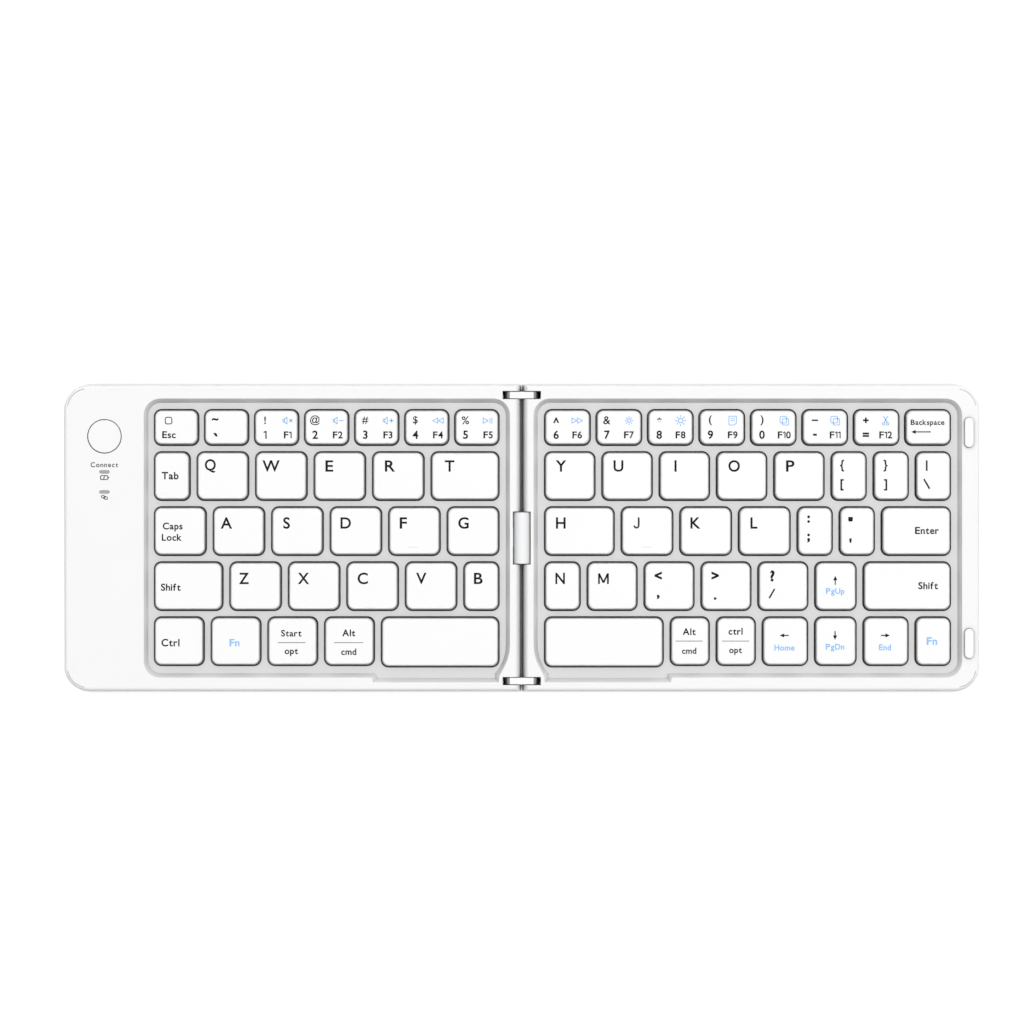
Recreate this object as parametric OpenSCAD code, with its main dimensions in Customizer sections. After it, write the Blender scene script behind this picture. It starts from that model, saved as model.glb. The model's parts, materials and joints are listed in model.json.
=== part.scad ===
// Folding keyboard: two flat halves joined at the seam by twin-pin metal links.
// Frame: origin at the middle of the footprint, +Z up, +X to the right, +Y to the number row.
// Each half is drawn outwards from the seam along +X, and the left half is its mirror image.

/* [Case] */
// Width of the unfolded keyboard
case_w = 291.8; // [288:0.1:300]
// Depth from the front edge to the rear edge
case_d = 97.5; // [97:0.5:102]
// Height of the deck above the table
case_h = 8; // [7.8:0.1:9]
// Radius of the four outer corners in plan
corner_r = 8; // [5:0.5:10]
// Rounding of the deck's outer edge
top_round = 1.2; // [0.6:0.1:1.4]
// Rounding of the underside's outer edge
bottom_round = 1.6; // [0.8:0.1:2.2]
// Thickness of the side walls
wall_t = 1.6; // [1.2:0.1:1.8]
// Thickness of the deck
deck_t = 1.6; // [1.2:0.1:1.7]
// Thickness of the floor
floor_t = 1.2; // [1:0.1:1.4]
// Height above the floor at which the cover and the frame part
cover_h = 2.6; // [2.5:0.1:2.8]

/* [Key well] */
// Distance from the seam to the well's edge
well_in = 3.75; // [3.6:0.05:4.2]
// Distance from the left well to the left edge
left_margin = 25.5; // [25:0.1:28]
// Distance from the right well to the right edge
right_margin = 5.65; // [5.5:0.05:7.5]
// Distance from the wells to the front and rear edges
end_margin = 4.3; // [4.2:0.05:5]
// Corner radius of the wells
well_r = 5.3; // [4:0.1:6]
// Radius of the well's front corner beside the seam
well_seam_r = 13.65; // [12:0.1:15]
// Run of the sloped well wall
slope_run = 1.33; // [1:0.01:1.6]
// Width of the finger notch at the well's front edge
notch_w = 40.2; // [30:0.5:50]
// Depth of the finger notch
notch_d = 1.5; // [1:0.1:1.8]
// Distance from the seam to the finger notch
notch_in = 7.3; // [7:0.1:12]
// How far the key plate reaches under the deck
plate_lap = 0.7; // [0.5:0.05:0.9]
// Thickness of the key plate
plate_t = 0.8; // [0.6:0.05:1]

/* [Keys] */
// Distance from a well's edge to the key openings, at the seam and at the rear
key_margin = 3.3; // [3.1:0.05:3.6]
// Distance from the left well's outer edge to its key openings
left_key_margin = 3.05; // [2.8:0.05:3.4]
// Distance from the right well's outer edge to its key openings
right_key_margin = 3.35; // [2.8:0.05:3.6]
// Distance from the wells' front edge to the key openings
front_key_margin = 3.6; // [3.2:0.05:4]
// Front-to-rear length of a number key opening
number_d = 11.8; // [11.4:0.05:12]
// Extra length of the space bars towards the front
space_extra = 0.45; // [0:0.05:0.8]
// Web between neighbouring keys
key_gap = 1.77; // [1.6:0.01:1.9]
// Web between neighbouring number keys
number_gap = 1.4; // [1.3:0.05:1.6]
// Web between rows of keys
row_gap = 1.65; // [1.55:0.05:1.7]
// Corner radius of a key opening
opening_r = 2.5; // [2:0.1:3]
// Gap all round a key in its opening
key_clear = 0.4; // [0.3:0.05:0.5]
// Inset of a key's top face from its skirt
key_inset = 0.6; // [0.4:0.05:0.7]
// Height of the key tops above the deck
key_rise = 0.2; // [0:0.05:0.4]
// Height of the sloped rim round a key's top face
key_rim = 0.9; // [0.6:0.1:0.95]
// Wall thickness of a keycap
key_wall = 0.95; // [0.8:0.05:1.1]
// Travel of a key
key_travel = 1.5; // [1:0.1:1.6]
// Radius of a key's plunger
plunger_r = 1.5; // [1.2:0.1:1.8]
// Radius of a rubber dome's foot
dome_r = 3.1; // [2.6:0.1:3.3]

/* [Hinge] */
// Distance from the seam to each hinge pin
pin_in = 3.4; // [3.35:0.01:3.45]
// Depth of the hinge pins below the deck
pin_drop = 2.9; // [2.85:0.01:2.95]
// Gap between a half and the seam
seam_gap = 0.2; // [0.15:0.05:0.3]
// Radius of a hinge pin
pin_r = 1; // [0.8:0.05:1.1]
// Radial clearance of a pin in its bore
pin_clear = 0.06; // [0.02:0.01:0.1]
// Radius of a link's rounded ends
link_r = 2.4; // [2:0.05:2.45]
// Thickness of a link
link_t = 2.25; // [2:0.05:2.3]
// Distance from the front or rear edge to the middle of each link
link_end = 3.2; // [3.1:0.05:3.3]
// Side clearance of a link in its slot
link_clear = 0.175; // [0.15:0.005:0.2]
// Length of a hinge pin
pin_l = 4.9; // [4.6:0.05:5]
// Radius of the cable barrel between the halves
barrel_r = 2.7; // [2.4:0.05:2.75]
// Length of the cable barrel
barrel_l = 16.3; // [14:0.1:18]
// Gap round the cable barrel
barrel_clear = 0.15; // [0.1:0.01:0.15]

/* [Inside] */
// Height of the base plates above the floor
base_rise = 1.2; // [1:0.1:1.3]
// Thickness of the base plates
base_t = 0.3; // [0.2:0.05:0.35]
// Thickness of the dome sheets
sheet_t = 0.25; // [0.15:0.05:0.3]
// Distance from the middle of the keyboard to the board's front edge
board_front = -1; // [-3:0.5:1]
// Gap between the board and the rear wall
board_gap = 2.15; // [1:0.05:4]
// Thickness of the circuit board
board_t = 0.8; // [0.6:0.1:1]
// Height of the circuit board above the floor
board_rise = 0.6; // [0.5:0.05:0.7]
// Gap between the battery and the front wall
battery_gap = 6.15; // [1:0.05:8]
// Thickness of the battery
battery_t = 3.1; // [2.5:0.1:3.1]
// Distance from the left edge to the middle of the board, battery and button
bay_out = 13; // [12.8:0.1:14.4]
// Gap beside the board and the battery in their bay
bay_gap = 2.3; // [2:0.1:3]

/* [Controls] */
// Radius of the connect button
button_r = 5.3; // [4.5:0.05:5.6]
// Gap round the connect button
button_clear = 0.2; // [0.15:0.05:0.3]
// Distance from the rear edge to the connect button
button_end = 16.35; // [15:0.05:19]
// Travel of the connect button
button_travel = 0.25; // [0.15:0.05:0.25]
// Length of an indicator lens
lens_w = 3.3; // [2.5:0.1:4]
// Width of an indicator lens
lens_d = 1.15; // [0.8:0.05:1.4]
// Distance from the rear edge to the upper lens
lens_end = 27.65; // [27:0.05:29]
// Distance between the two lenses
lens_pitch = 6.45; // [5:0.05:7]
// Width of the charging port
port_w = 8.9; // [8.5:0.1:9.2]
// Height of the charging port
port_h = 2.9; // [2.6:0.05:2.95]
// Depth of the charging port into the case
port_l = 7.2; // [6.5:0.1:8]
// Distance from the middle of the keyboard to the charging port
port_y = 14; // [12:0.5:16]

/* [Pads and fasteners] */
// Height of the feet below the underside
foot_h = 0.8; // [0.6:0.1:1]
// Radius of the feet
foot_r = 4; // [3:0.1:4.5]
// Depth of the recesses that hold the feet
foot_sink = 0.3; // [0.2:0.05:0.4]
// Distance from the seam to the inner feet
foot_in = 14; // [13:0.5:20]
// Distance from the outer edge to the outer feet
foot_out = 13.9; // [12:0.5:20]
// Distance from the front and rear edges to the feet
foot_end = 10.75; // [10:0.05:15]
// Width of a bumper
bumper_w = 3; // [2.5:0.1:3.2]
// Length of a bumper
bumper_l = 9.6; // [8:0.1:11]
// Height of the bumpers above the deck
bumper_h = 0.8; // [0.6:0.05:0.9]
// Depth of the recesses that hold the bumpers
bumper_sink = 0.8; // [0.5:0.05:0.9]
// Distance from the outer edge to the bumpers, magnets and outer screws
trim_out = 3.5; // [3.4:0.05:3.8]
// Distance from the front and rear edges to the bumpers
bumper_end = 15.15; // [15:0.05:17]
// Radius of a closing magnet
magnet_r = 1.9; // [1.5:0.1:2]
// Thickness of a closing magnet
magnet_t = 1.4; // [1:0.1:1.5]
// Distance from the front and rear edges to the magnets
magnet_end = 25.75; // [24:0.05:27]
// Radius of a screw's head
screw_head_r = 1.6; // [1.4:0.05:1.7]
// Radius of a screw's thread
screw_r = 0.8; // [0.6:0.05:0.9]
// Distance from the front and rear edges to the outer screws
screw_end = 6.55; // [6:0.05:7.5]
// Distance from the middle of the keyboard to the seam screws
seam_screw_y = 26; // [20:0.5:32]

/* [Hidden] */
corner_steps = 8;    // straight lengths in a quarter of a case corner

eps = 0.01;
past = 1;                                  // overshoot of a cutter past the face that it opens
half_w = case_w / 2;
edge_y = case_d / 2;
under_z = foot_h;                          // underside of the cover
floor_z = under_z + floor_t;               // top of the floor
part_z = under_z + cover_h;                // where cover and frame meet
deck_z = case_h;
ceiling_z = deck_z - deck_t;               // underside of the deck and top of the key plate
cavity_x = half_w - wall_t;
cavity_y = edge_y - wall_t;
cavity_r = corner_r - wall_t;
left_well_w = half_w - well_in - left_margin;
right_well_w = half_w - well_in - right_margin;
well_y = edge_y - end_margin;
bend_turn = 40;                            // turn of the well's front corner beside the seam
bend_foot = 1.5;                           // how far that bend ends behind the well's front edge
bend_flare = 0.4;
notch_back = 2;                            // reach of the notch cutter into the well
notch_lean = 0.2;
pin_z = deck_z - pin_drop;
seam_round = pin_in - seam_gap;            // the deck rolls over the seam on this radius
slot_clear = 0.3;                          // gap past the end of a link
slot_w = link_t + 2 * link_clear;
slot_x = pin_in + link_r + slot_clear;
block_wall = 0.9;
block_x = slot_x + block_wall;             // hinge block round the link
link_y = edge_y - link_end;
bearing_l = 1.65;                          // length of a pin's bearing beside the slot
block_y = link_y - slot_w / 2 - bearing_l;
rail_wall = 0.2;
rail_x = pin_in + pin_r + rail_wall;       // spine along the seam
barrel_z = deck_z - barrel_r;
pocket_x = barrel_r + barrel_clear;
pocket_y = barrel_l / 2 + 2 * barrel_clear;
flex_w = 10;
flex_l = 28;
flex_t = 0.2;
flex_clear = 1;                            // gap beside the flexible cable
plate_z = ceiling_z - plate_t;
base_z = floor_z + base_rise;
sheet_z = base_z + base_t;
sheet_top = sheet_z + sheet_t;
base_gap = 0.3;
base_y = block_y - base_gap;
seat_gap = 0.1;
key_top = deck_z + key_rise;
skirt_lift = 0.3;
key_foot = plate_z + skirt_lift;           // lower edge of the skirts at rest
key_top_t = 1;
key_ceiling = key_top - key_top_t;         // inner face of a keycap's top
plunger_l = 0.9;
plunger_z = key_ceiling - plunger_l;
rib_t = 1;
rib_inset = 6.45;                          // from the base plate's ends to the first floor ribs
floor_ribs = 4;
rib_pitch = 2 * (base_y - rib_inset) / (floor_ribs - 1);
boss_r = 2.2;                              // radius of the screw bosses
trim_x = half_w - trim_out;
rail_mid = (seam_gap + rail_x) / 2;
button_y = edge_y - button_end;
lens_y = edge_y - lens_end;
bumper_y = edge_y - bumper_end;
magnet_y = edge_y - magnet_end;
screw_y = edge_y - screw_end;
foot_y = edge_y - foot_end;
head_sink = 0.15;
head_l = 0.95;
head_z = under_z + head_sink;
head_top = head_z + head_l;
thread_gap = 0.2;
thread_top = ceiling_z - thread_gap;
board_z = floor_z + board_rise;
board_top = board_z + board_t;
board_l = cavity_y - board_gap - board_front;
board_post_r = 1.4;
battery_rear = board_front - 2;
battery_l = cavity_y - battery_gap + battery_rear;
bay_x = half_w - bay_out;
bay_wall_gap = 2;                          // from the left well to the partition
bay_wall_x = half_w - left_margin + bay_wall_gap + rib_t;   // partition between the keys and the board
bay_w = 2 * (bay_x - bay_wall_x - bay_gap);                 // width of the board and the battery
button_flange = 0.8;
stop_gap = 0.05;
port_z = board_top + port_h / 2 + stop_gap / 2;
foot_outer_x = half_w - foot_out;

field_in = well_in + key_margin;
field_rear = well_y - key_margin;
left_field_w = left_well_w - key_margin - left_key_margin;
right_field_w = right_well_w - key_margin - right_key_margin;
letter_rows = 4;
grid = 0.01;                               // key openings start and end on this grid
letter_d = snap((field_rear + well_y - front_key_margin - number_d - letter_rows * row_gap) / letter_rows);

// Rows from the rear to the front. A key is [node, width in units], and a row's units fill its field.
left_rows = [
    [for (i = [0:6]) ["left_number_keys", 1]],
    [["left_modifier_keys", 0.73], ["key_q", 1], ["key_w", 1], ["key_e", 1], ["key_r", 1], ["key_t", 1.28]],
    [["left_modifier_keys", 1.005], ["key_a", 1], ["key_s", 1], ["key_d", 1], ["key_f", 1], ["key_g", 1.005]],
    [["left_modifier_keys", 1.29], ["key_z", 1], ["key_x", 1], ["key_c", 1], ["key_v", 1], ["key_b", 0.72]],
    [for (i = [0:3]) ["left_modifier_keys", 0.97], ["left_space_key", 2.13]]
];
right_rows = [
    [for (i = [0:7]) ["right_number_keys", 1]],
    [["key_y", 1], ["key_u", 1], ["key_i", 1], ["key_o", 1], ["key_p", 1],
        for (i = [0:2]) ["right_punctuation_keys", 0.735]],
    [["key_h", 1.305], ["key_j", 1], ["key_k", 1], ["key_l", 1],
        for (i = [0:1]) ["right_punctuation_keys", 0.718], ["right_modifier_keys", 1.297]],
    [["key_n", 0.747], ["key_m", 1], for (i = [0:2]) ["right_punctuation_keys", 1],
        ["right_modifier_keys", 0.848], ["right_modifier_keys", 1.657]],
    [["right_space_key", 2.142], for (u = [0.785, 0.785, 0.893, 0.826, 0.888, 0.721]) ["right_modifier_keys", u]]
];

function snap(v) = round(v / grid) * grid;
function sum(v, n) = n <= 0 ? 0 : v[n - 1] + sum(v, n - 1);
function total(v) = sum(v, len(v));
function is_space(key) = key[0] == "left_space_key" || key[0] == "right_space_key";
function pitches(row, width) = let (unit = width / total([for (key = row) key[1]])) [for (key = row) key[1] * unit];
function row_len(r) = r == 0 ? number_d : letter_d;
function row_web(r) = r == 0 ? number_gap : key_gap;
function row_rear(r) = field_rear - (r == 0 ? 0 : number_d + (r - 1) * letter_d + r * row_gap);
// Every key of a half as [node, x, y, opening width, opening length]
function keys(rows, x0, field_w) = [for (r = [0:len(rows) - 1]) let (web = row_web(r),
    steps = pitches(rows[r], field_w + web)) for (i = [0:len(rows[r]) - 1])
    let (start = snap(x0 + sum(steps, i)), end = snap(x0 + sum(steps, i + 1) - web),
        length = row_len(r) + (is_space(rows[r][i]) ? space_extra : 0))
    [rows[r][i][0], (start + end) / 2, row_rear(r) - length / 2, end - start, length]];
left_keys = keys(left_rows, -field_in - left_field_w, left_field_w);
right_keys = keys(right_rows, field_in, right_field_w);

// ---- Shapes that repeat ----

module on_side(s) {
    if (s < 0) mirror([1, 0, 0]) children();
    else children();
}

module rounded(w, d, r) {
    square([w - 2 * r, d], center = true);
    square([w, d - 2 * r], center = true);
    for (x = [-1, 1], y = [-1, 1]) translate([x * (w / 2 - r), y * (d / 2 - r)]) circle(r, $fn = 48);
}

module block(x0, x1, y0, y1, z0, z1) {
    translate([x0, y0, z0]) cube([x1 - x0, y1 - y0, z1 - z0]);
}

module post(x, y, r, z0, z1) {
    translate([x, y, z0]) cylinder(r = r, h = z1 - z0, $fn = 48);
}

// Rod along Y
module rod(x, z, r, y0, y1) {
    translate([x, y1, z]) rotate([90, 0, 0]) cylinder(r = r, h = y1 - y0, $fn = 48);
}

// Outline drawn in X and Z, run along Y
module along_y(y0, y1) {
    translate([0, y1, 0]) rotate([90, 0, 0]) linear_extrude(y1 - y0) children();
}

module pair_y(y) {
    for (s = [-1, 1]) translate([0, s * y, 0]) children();
}

// One level of the case's outline, drawn in by the given inset
module case_level(inset, z) {
    x1 = half_w - corner_r;
    y1 = edge_y - corner_r;
    arc = [for (i = [0:corner_steps]) (corner_r - inset) * [cos(i * 90 / corner_steps), sin(i * 90 / corner_steps)]];
    translate([0, 0, z]) linear_extrude(eps) polygon([
        [-past, -arc[corner_steps][1] - y1],
        for (i = [corner_steps:-1:1]) [x1 + arc[i][0], -y1 - arc[i][1]],
        for (p = arc) [x1 + p[0], y1 + p[1]],
        [-past, arc[corner_steps][1] + y1]]);
}

// Outer form of one half with its rounded edges
module case_form() {
    hull() {
        for (a = [0:22.5:90]) {
            case_level(top_round * (1 - cos(a)), deck_z - eps - top_round * (1 - sin(a)));
            case_level(bottom_round * (1 - cos(a)), under_z + bottom_round * (1 - sin(a)));
        }
    }
}

// Side view of a frame: the deck rolls down to the seam about the hinge pin
module frame_profile() {
    intersection() {
        translate([0, part_z]) square([half_w + past, deck_z - part_z]);
        union() {
            translate([pin_in, 0]) square([half_w, deck_z + past]);
            translate([seam_gap, 0]) square([pin_in, pin_z]);
            translate([pin_in, pin_z]) circle(seam_round, $fn = 96);
        }
    }
}

module well_level(well_w, inset, z) {
    x0 = well_in + inset;
    x1 = well_in + well_w - inset;
    y1 = well_y - inset;
    r = well_r - inset;
    bend_y = -well_y + well_seam_r * sin(bend_turn) + bend_foot;
    bend_x = x0 + well_seam_r * (1 - cos(bend_turn)) + bend_flare;
    translate([0, 0, z]) linear_extrude(eps) {
        for (p = [[x0 + r, y1 - r], [x1 - r, y1 - r], [x1 - r, -y1 + r]]) translate(p) circle(r, $fn = 32);
        polygon([[x0, 0],
            for (a = [0:10:bend_turn]) [x0 + well_seam_r * (1 - cos(a)), bend_y - well_seam_r * sin(a)],
            [bend_x, -y1], [x0 + well_seam_r, -y1], [x0 + well_seam_r, 0]]);
    }
}

module notch_level(inset, z) {
    y1 = well_y + notch_d - inset;
    translate([0, 0, z]) linear_extrude(eps)
        polygon([[notch_in + inset, -y1], [notch_in + notch_w - inset, -y1],
            [notch_in + notch_w + notch_d / 2 - inset, -y1 + notch_d + notch_back],
            [notch_in - notch_lean + inset, -y1 + notch_d + notch_back]]);
}

// Cutter with the well's sloped walls
module well_cut(well_w) {
    hull() {
        well_level(well_w, 0, deck_z);
        well_level(well_w, slope_run, ceiling_z - eps);
    }
    hull() {
        notch_level(0, deck_z);
        notch_level(slope_run, ceiling_z - eps);
    }
}

// Space inside the side walls
module cavity(z0, z1) {
    translate([0, 0, z0]) linear_extrude(z1 - z0) {
        translate([(cavity_x + rail_x) / 2, 0])
            square([cavity_x - rail_x, 2 * (cavity_y - cavity_r)], center = true);
        translate([rail_x, -cavity_y]) square([cavity_x - cavity_r - rail_x, 2 * cavity_y]);
        for (s = [-1, 1]) translate([cavity_x - cavity_r, s * (cavity_y - cavity_r)]) circle(cavity_r, $fn = 64);
    }
}

module hinge_blocks(z0, z1) {
    for (s = [-1, 1]) block(seam_gap, block_x, min(s * block_y, s * (cavity_y + wall_t / 2)),
        max(s * block_y, s * (cavity_y + wall_t / 2)), z0, z1);
}

// Slots for the links, open at the seam and through the deck
module link_slots() {
    pair_y(link_y) block(-past, slot_x, -slot_w / 2, slot_w / 2, pin_z - link_r - slot_clear, deck_z + past);
}

module pin_bores() {
    pin_end = block_y + pin_l + 0.3;
    for (s = [-1, 1]) rod(pin_in, pin_z, pin_r + pin_clear, s > 0 ? block_y - past : -pin_end,
        s > 0 ? pin_end : -block_y + past);
}

module barrel_pocket(z0, z1) {
    block(-past, pocket_x, -pocket_y, pocket_y, z0, z1);
}

module screw_places() {
    for (s = [-1, 1]) {
        translate([trim_x, s * screw_y, 0]) children();
        translate([rail_mid, s * seam_screw_y, 0]) children();
    }
}

module foot_places() {
    for (x = [foot_in, foot_outer_x], s = [-1, 1]) translate([x, s * foot_y, 0]) children();
}

module stadium(w, l) {
    square([w, l - w], center = true);
    for (s = [-1, 1]) translate([0, s * (l - w) / 2]) circle(w / 2, $fn = 48);
}

// ---- Case ----

module bottom_cover(well_w) {
    plate_x = well_in + well_w - slope_run + plate_lap;
    difference() {
        intersection() {
            case_form();
            block(seam_gap, half_w + past, -edge_y - past, edge_y + past, 0, part_z);
        }
        difference() {
            cavity(floor_z, part_z + past);
            hinge_blocks(floor_z - past, part_z + 2 * past);
            for (s = [-1, 1]) post(trim_x, s * screw_y, boss_r, floor_z - past, part_z + 2 * past);
            for (i = [0:floor_ribs - 1]) let (y = (i - (floor_ribs - 1) / 2) * rib_pitch)
                block(rail_x + 2 * rib_t, plate_x - rib_t, y - rib_t / 2, y + rib_t / 2, floor_z - past, base_z);
        }
        link_slots();
        barrel_pocket(floor_z + 2 * flex_t, part_z + past);
        block(-past, rail_x + past, -flex_w / 2 - flex_clear, flex_w / 2 + flex_clear, floor_z, part_z - 2 * flex_t);
        screw_places() {
            translate([0, 0, under_z - past]) cylinder(r = screw_head_r + 0.2, h = head_top - under_z + past, $fn = 48);
            translate([0, 0, under_z]) cylinder(r = screw_r + 0.2, h = part_z, $fn = 48);
        }
        foot_places() translate([0, 0, under_z - past]) cylinder(r = foot_r + 0.1, h = foot_sink + past, $fn = 64);
    }
}

module top_frame(well_w) {
    difference() {
        intersection() {
            case_form();
            along_y(-edge_y - past, edge_y + past) frame_profile();
        }
        difference() {
            cavity(part_z - past, ceiling_z);
            hinge_blocks(0, deck_z);
            for (s = [-1, 1]) post(trim_x, s * screw_y, boss_r, 0, deck_z);
            for (s = [-1, 1]) post(trim_x, s * magnet_y, magnet_r + 0.7, ceiling_z - magnet_t + 0.2, deck_z);
        }
        for (s = [-1, 1]) post(trim_x, s * magnet_y, magnet_r + 0.1, part_z, ceiling_z);
        well_cut(well_w);
        link_slots();
        pin_bores();
        barrel_pocket(0, deck_z + past);
        screw_places() translate([0, 0, part_z - past]) cylinder(r = screw_r + 0.05, h = thread_top - part_z + past,
            $fn = 48);
    }
}

module port_outline(grow) {
    translate([-port_y, port_z]) rotate(90) stadium(port_h + grow, port_w + grow);
}

// Prism of the charging port's outline, run along X
module port_prism(grow, x0, x1) {
    translate([x0, 0, 0]) rotate([90, 0, 90]) linear_extrude(x1 - x0) mirror([1, 0]) port_outline(grow);
}

// The two indicator lenses, with their outline grown by the given width
module lenses(grow, z0, z1) {
    for (i = [0, 1]) translate([bay_x, lens_y - i * lens_pitch, z0]) linear_extrude(z1 - z0) rotate(90)
        stadium(lens_d + grow, lens_w + grow);
}

module left_bottom_cover() {
    color("gainsboro") on_side(-1) {
        difference() {
            bottom_cover(left_well_w);
            port_prism(0.2, half_w - wall_t - past, half_w + past);
        }
        difference() {
            block(bay_wall_x - rib_t, bay_wall_x, -cavity_y - eps, cavity_y + eps, floor_z - eps, part_z);
            block(bay_wall_x - past - rib_t, bay_wall_x + past, -flex_w / 2 - flex_clear, flex_w / 2 + flex_clear,
                floor_z, part_z + past);
        }
        for (x = [-1, 1], y = [2, board_l - 2 * board_post_r]) post(bay_x + x * (bay_w / 2 - 2), board_front + y,
            board_post_r, floor_z - eps, board_z);
    }
}

module left_top_frame() {
    color("whitesmoke") on_side(-1) difference() {
        top_frame(left_well_w);
        post(bay_x, button_y, button_r + button_clear, ceiling_z - past, deck_z + past);
        lenses(0, ceiling_z - past, deck_z + past);
        port_prism(0.2, half_w - wall_t - past, half_w + past);
    }
}

module right_bottom_cover() {
    color("gainsboro") bottom_cover(right_well_w);
}

module right_top_frame() {
    color("whitesmoke") difference() {
        top_frame(right_well_w);
        pair_y(bumper_y) translate([trim_x, 0, deck_z - bumper_sink]) linear_extrude(bumper_sink + past)
            stadium(bumper_w + 0.1, bumper_l + 0.1);
    }
}

// ---- Key bed ----

module key_plate(s, well_w, places) {
    x0 = rail_x + seat_gap;
    x1 = well_in + well_w - slope_run + plate_lap;
    y0 = -well_y - notch_d + slope_run - plate_lap;
    y1 = well_y - slope_run + plate_lap;
    translate([0, 0, plate_z]) linear_extrude(plate_t) difference() {
        on_side(s) difference() {
            translate([x0, y0]) square([x1 - x0, y1 - y0]);
            for (e = [-1, 1]) translate([0, e * (block_y - seat_gap + edge_y / 2)])
                square([2 * (block_x + seat_gap), edge_y], center = true);
        }
        for (key = places) translate([key[1], key[2]]) rounded(key[3], key[4], opening_r);
    }
    // Ribs under the webs between the rows
    on_side(s) for (r = [1:4]) translate([0, row_rear(r) + row_gap / 2, 0])
        block(field_in, x1 - 2, -rib_t / 2, rib_t / 2, sheet_top, plate_z);
}

module base_plate(s, well_w) {
    on_side(s) block(rail_x + seat_gap, well_in + well_w - slope_run, -base_y, base_y, base_z, sheet_z);
}

module dome_sheet(s, well_w, places) {
    on_side(s) block(rail_x + seat_gap + 0.5, well_in + well_w - slope_run - 0.5, -base_y + 0.3, base_y - 0.3,
        sheet_z, sheet_top);
    for (key = places) translate([key[1], key[2], sheet_top - eps])
        cylinder(r1 = dome_r, r2 = plunger_r + 0.1, h = plunger_z - sheet_top + eps, $fn = 48);
}

// Two crossed levers under one key
module scissor(w, d) {
    lever_t = 0.6;
    span_x = min(10.2, w - 2 * (key_clear + key_wall) - 0.8);
    span_y = min(10.6, d - 2 * (key_clear + key_wall) - 0.8);
    low_z = sheet_top + 0.02;
    high_z = key_ceiling - 0.02;
    tilt = asin((high_z - low_z - lever_t) / span_y);
    for (s = [-1, 1], t = [-1, 1]) {
        translate([s * (span_x - 0.7) / 2, 0, (low_z + high_z) / 2]) rotate([t * tilt, 0, 0])
            cube([0.7, span_y - 0.4, lever_t], center = true);
        translate([0, s * (span_y - lever_t) / 2, t > 0 ? high_z - 0.7 / 2 : low_z + 0.7 / 2])
            cube([span_x - 0.2, lever_t, 0.7], center = true);
    }
}

module scissor_frames(places) {
    for (key = places) translate([key[1], key[2], 0]) scissor(key[3], key[4]);
}

module key_level(w, d, inset, r, z) {
    for (x = [-1, 1], y = [-1, 1]) translate([x * (w / 2 - inset - r), y * (d / 2 - inset - r), z])
        cylinder(r = r, h = eps, $fn = 16);
}

// Hollow cap with a sloped rim and a plunger, drawn for the opening that it fills
module keycap(w, d) {
    skirt_w = w - 2 * key_clear;
    skirt_d = d - 2 * key_clear;
    skirt_r = opening_r - key_clear;
    difference() {
        hull() {
            key_level(skirt_w, skirt_d, 0, skirt_r, key_foot);
            key_level(skirt_w, skirt_d, 0, skirt_r, key_top - key_rim);
            key_level(skirt_w, skirt_d, key_inset, skirt_r - 0.2, key_top - eps);
        }
        translate([0, 0, key_foot - past]) linear_extrude(key_ceiling - key_foot + past)
            square([skirt_w - 2 * key_wall, skirt_d - 2 * key_wall], center = true);
    }
    translate([0, 0, plunger_z]) cylinder(r = plunger_r, h = key_ceiling - plunger_z + eps, $fn = 48);
}

// All the keycaps that share one node
module keycaps(name) {
    color("white") for (key = concat(left_keys, right_keys))
        if (key[0] == name) translate([key[1], key[2], 0]) keycap(key[3], key[4]);
}

module left_key_plate() {
    color("silver") key_plate(-1, left_well_w, left_keys);
}

module right_key_plate() {
    color("silver") key_plate(1, right_well_w, right_keys);
}

module left_base_plate() {
    color("slategray") base_plate(-1, left_well_w);
}

module right_base_plate() {
    color("slategray") base_plate(1, right_well_w);
}

module left_dome_sheet() {
    color("lightblue") dome_sheet(-1, left_well_w, left_keys);
}

module right_dome_sheet() {
    color("lightblue") dome_sheet(1, right_well_w, right_keys);
}

module left_scissor_frames() {
    color("ivory") scissor_frames(left_keys);
}

module right_scissor_frames() {
    color("ivory") scissor_frames(right_keys);
}

// ---- Electronics and controls, all in the left half ----

module main_circuit_board() {
    switch_w = 5.2;
    switch_top = ceiling_z - button_flange - stop_gap - button_travel - 0.05;
    color("darkgreen") on_side(-1) {
        block(bay_x - bay_w / 2, bay_x + bay_w / 2, board_front, board_front + board_l, board_z, board_top);
        block(bay_x, cavity_x - 0.3, port_y - port_w / 2, port_y + port_w / 2, board_z, board_top);
        block(bay_x - switch_w / 2, bay_x + switch_w / 2, button_y - switch_w / 2, button_y + switch_w / 2,
            board_top - eps, switch_top);
        block(bay_x - 6, bay_x - 1, 3, 8, board_top - eps, board_top + 0.9);
        for (i = [0, 1]) block(bay_x - 0.8, bay_x + 0.8, lens_y - i * lens_pitch - 0.4,
            lens_y - i * lens_pitch + 0.4, board_top - eps, board_top + 0.6);
    }
}

module battery() {
    color("dimgray") on_side(-1) translate([bay_x, battery_rear - battery_l / 2, floor_z])
        linear_extrude(battery_t) rounded(bay_w, battery_l, 1.5);
}

module charging_port() {
    shell_t = 0.3;
    x0 = half_w - 0.5 - port_l;
    color("lightgray") on_side(-1) {
        difference() {
            port_prism(0, x0, half_w - 0.5);
            port_prism(-2 * shell_t, x0 + shell_t, half_w);
        }
        block(x0 + shell_t - eps, half_w - 2, port_y - port_w / 2 + 1.4, port_y + port_w / 2 - 1.4,
            port_z - 0.35, port_z + 0.35);
    }
}

module indicator_lenses() {
    color("whitesmoke") on_side(-1) {
        lenses(-0.1, ceiling_z - eps, deck_z - 0.05);
        block(bay_x - lens_w / 2 - 0.8, bay_x + lens_w / 2 + 0.8, lens_y - lens_pitch - lens_d,
            lens_y + lens_d, ceiling_z - 0.9, ceiling_z);
    }
}

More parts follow.
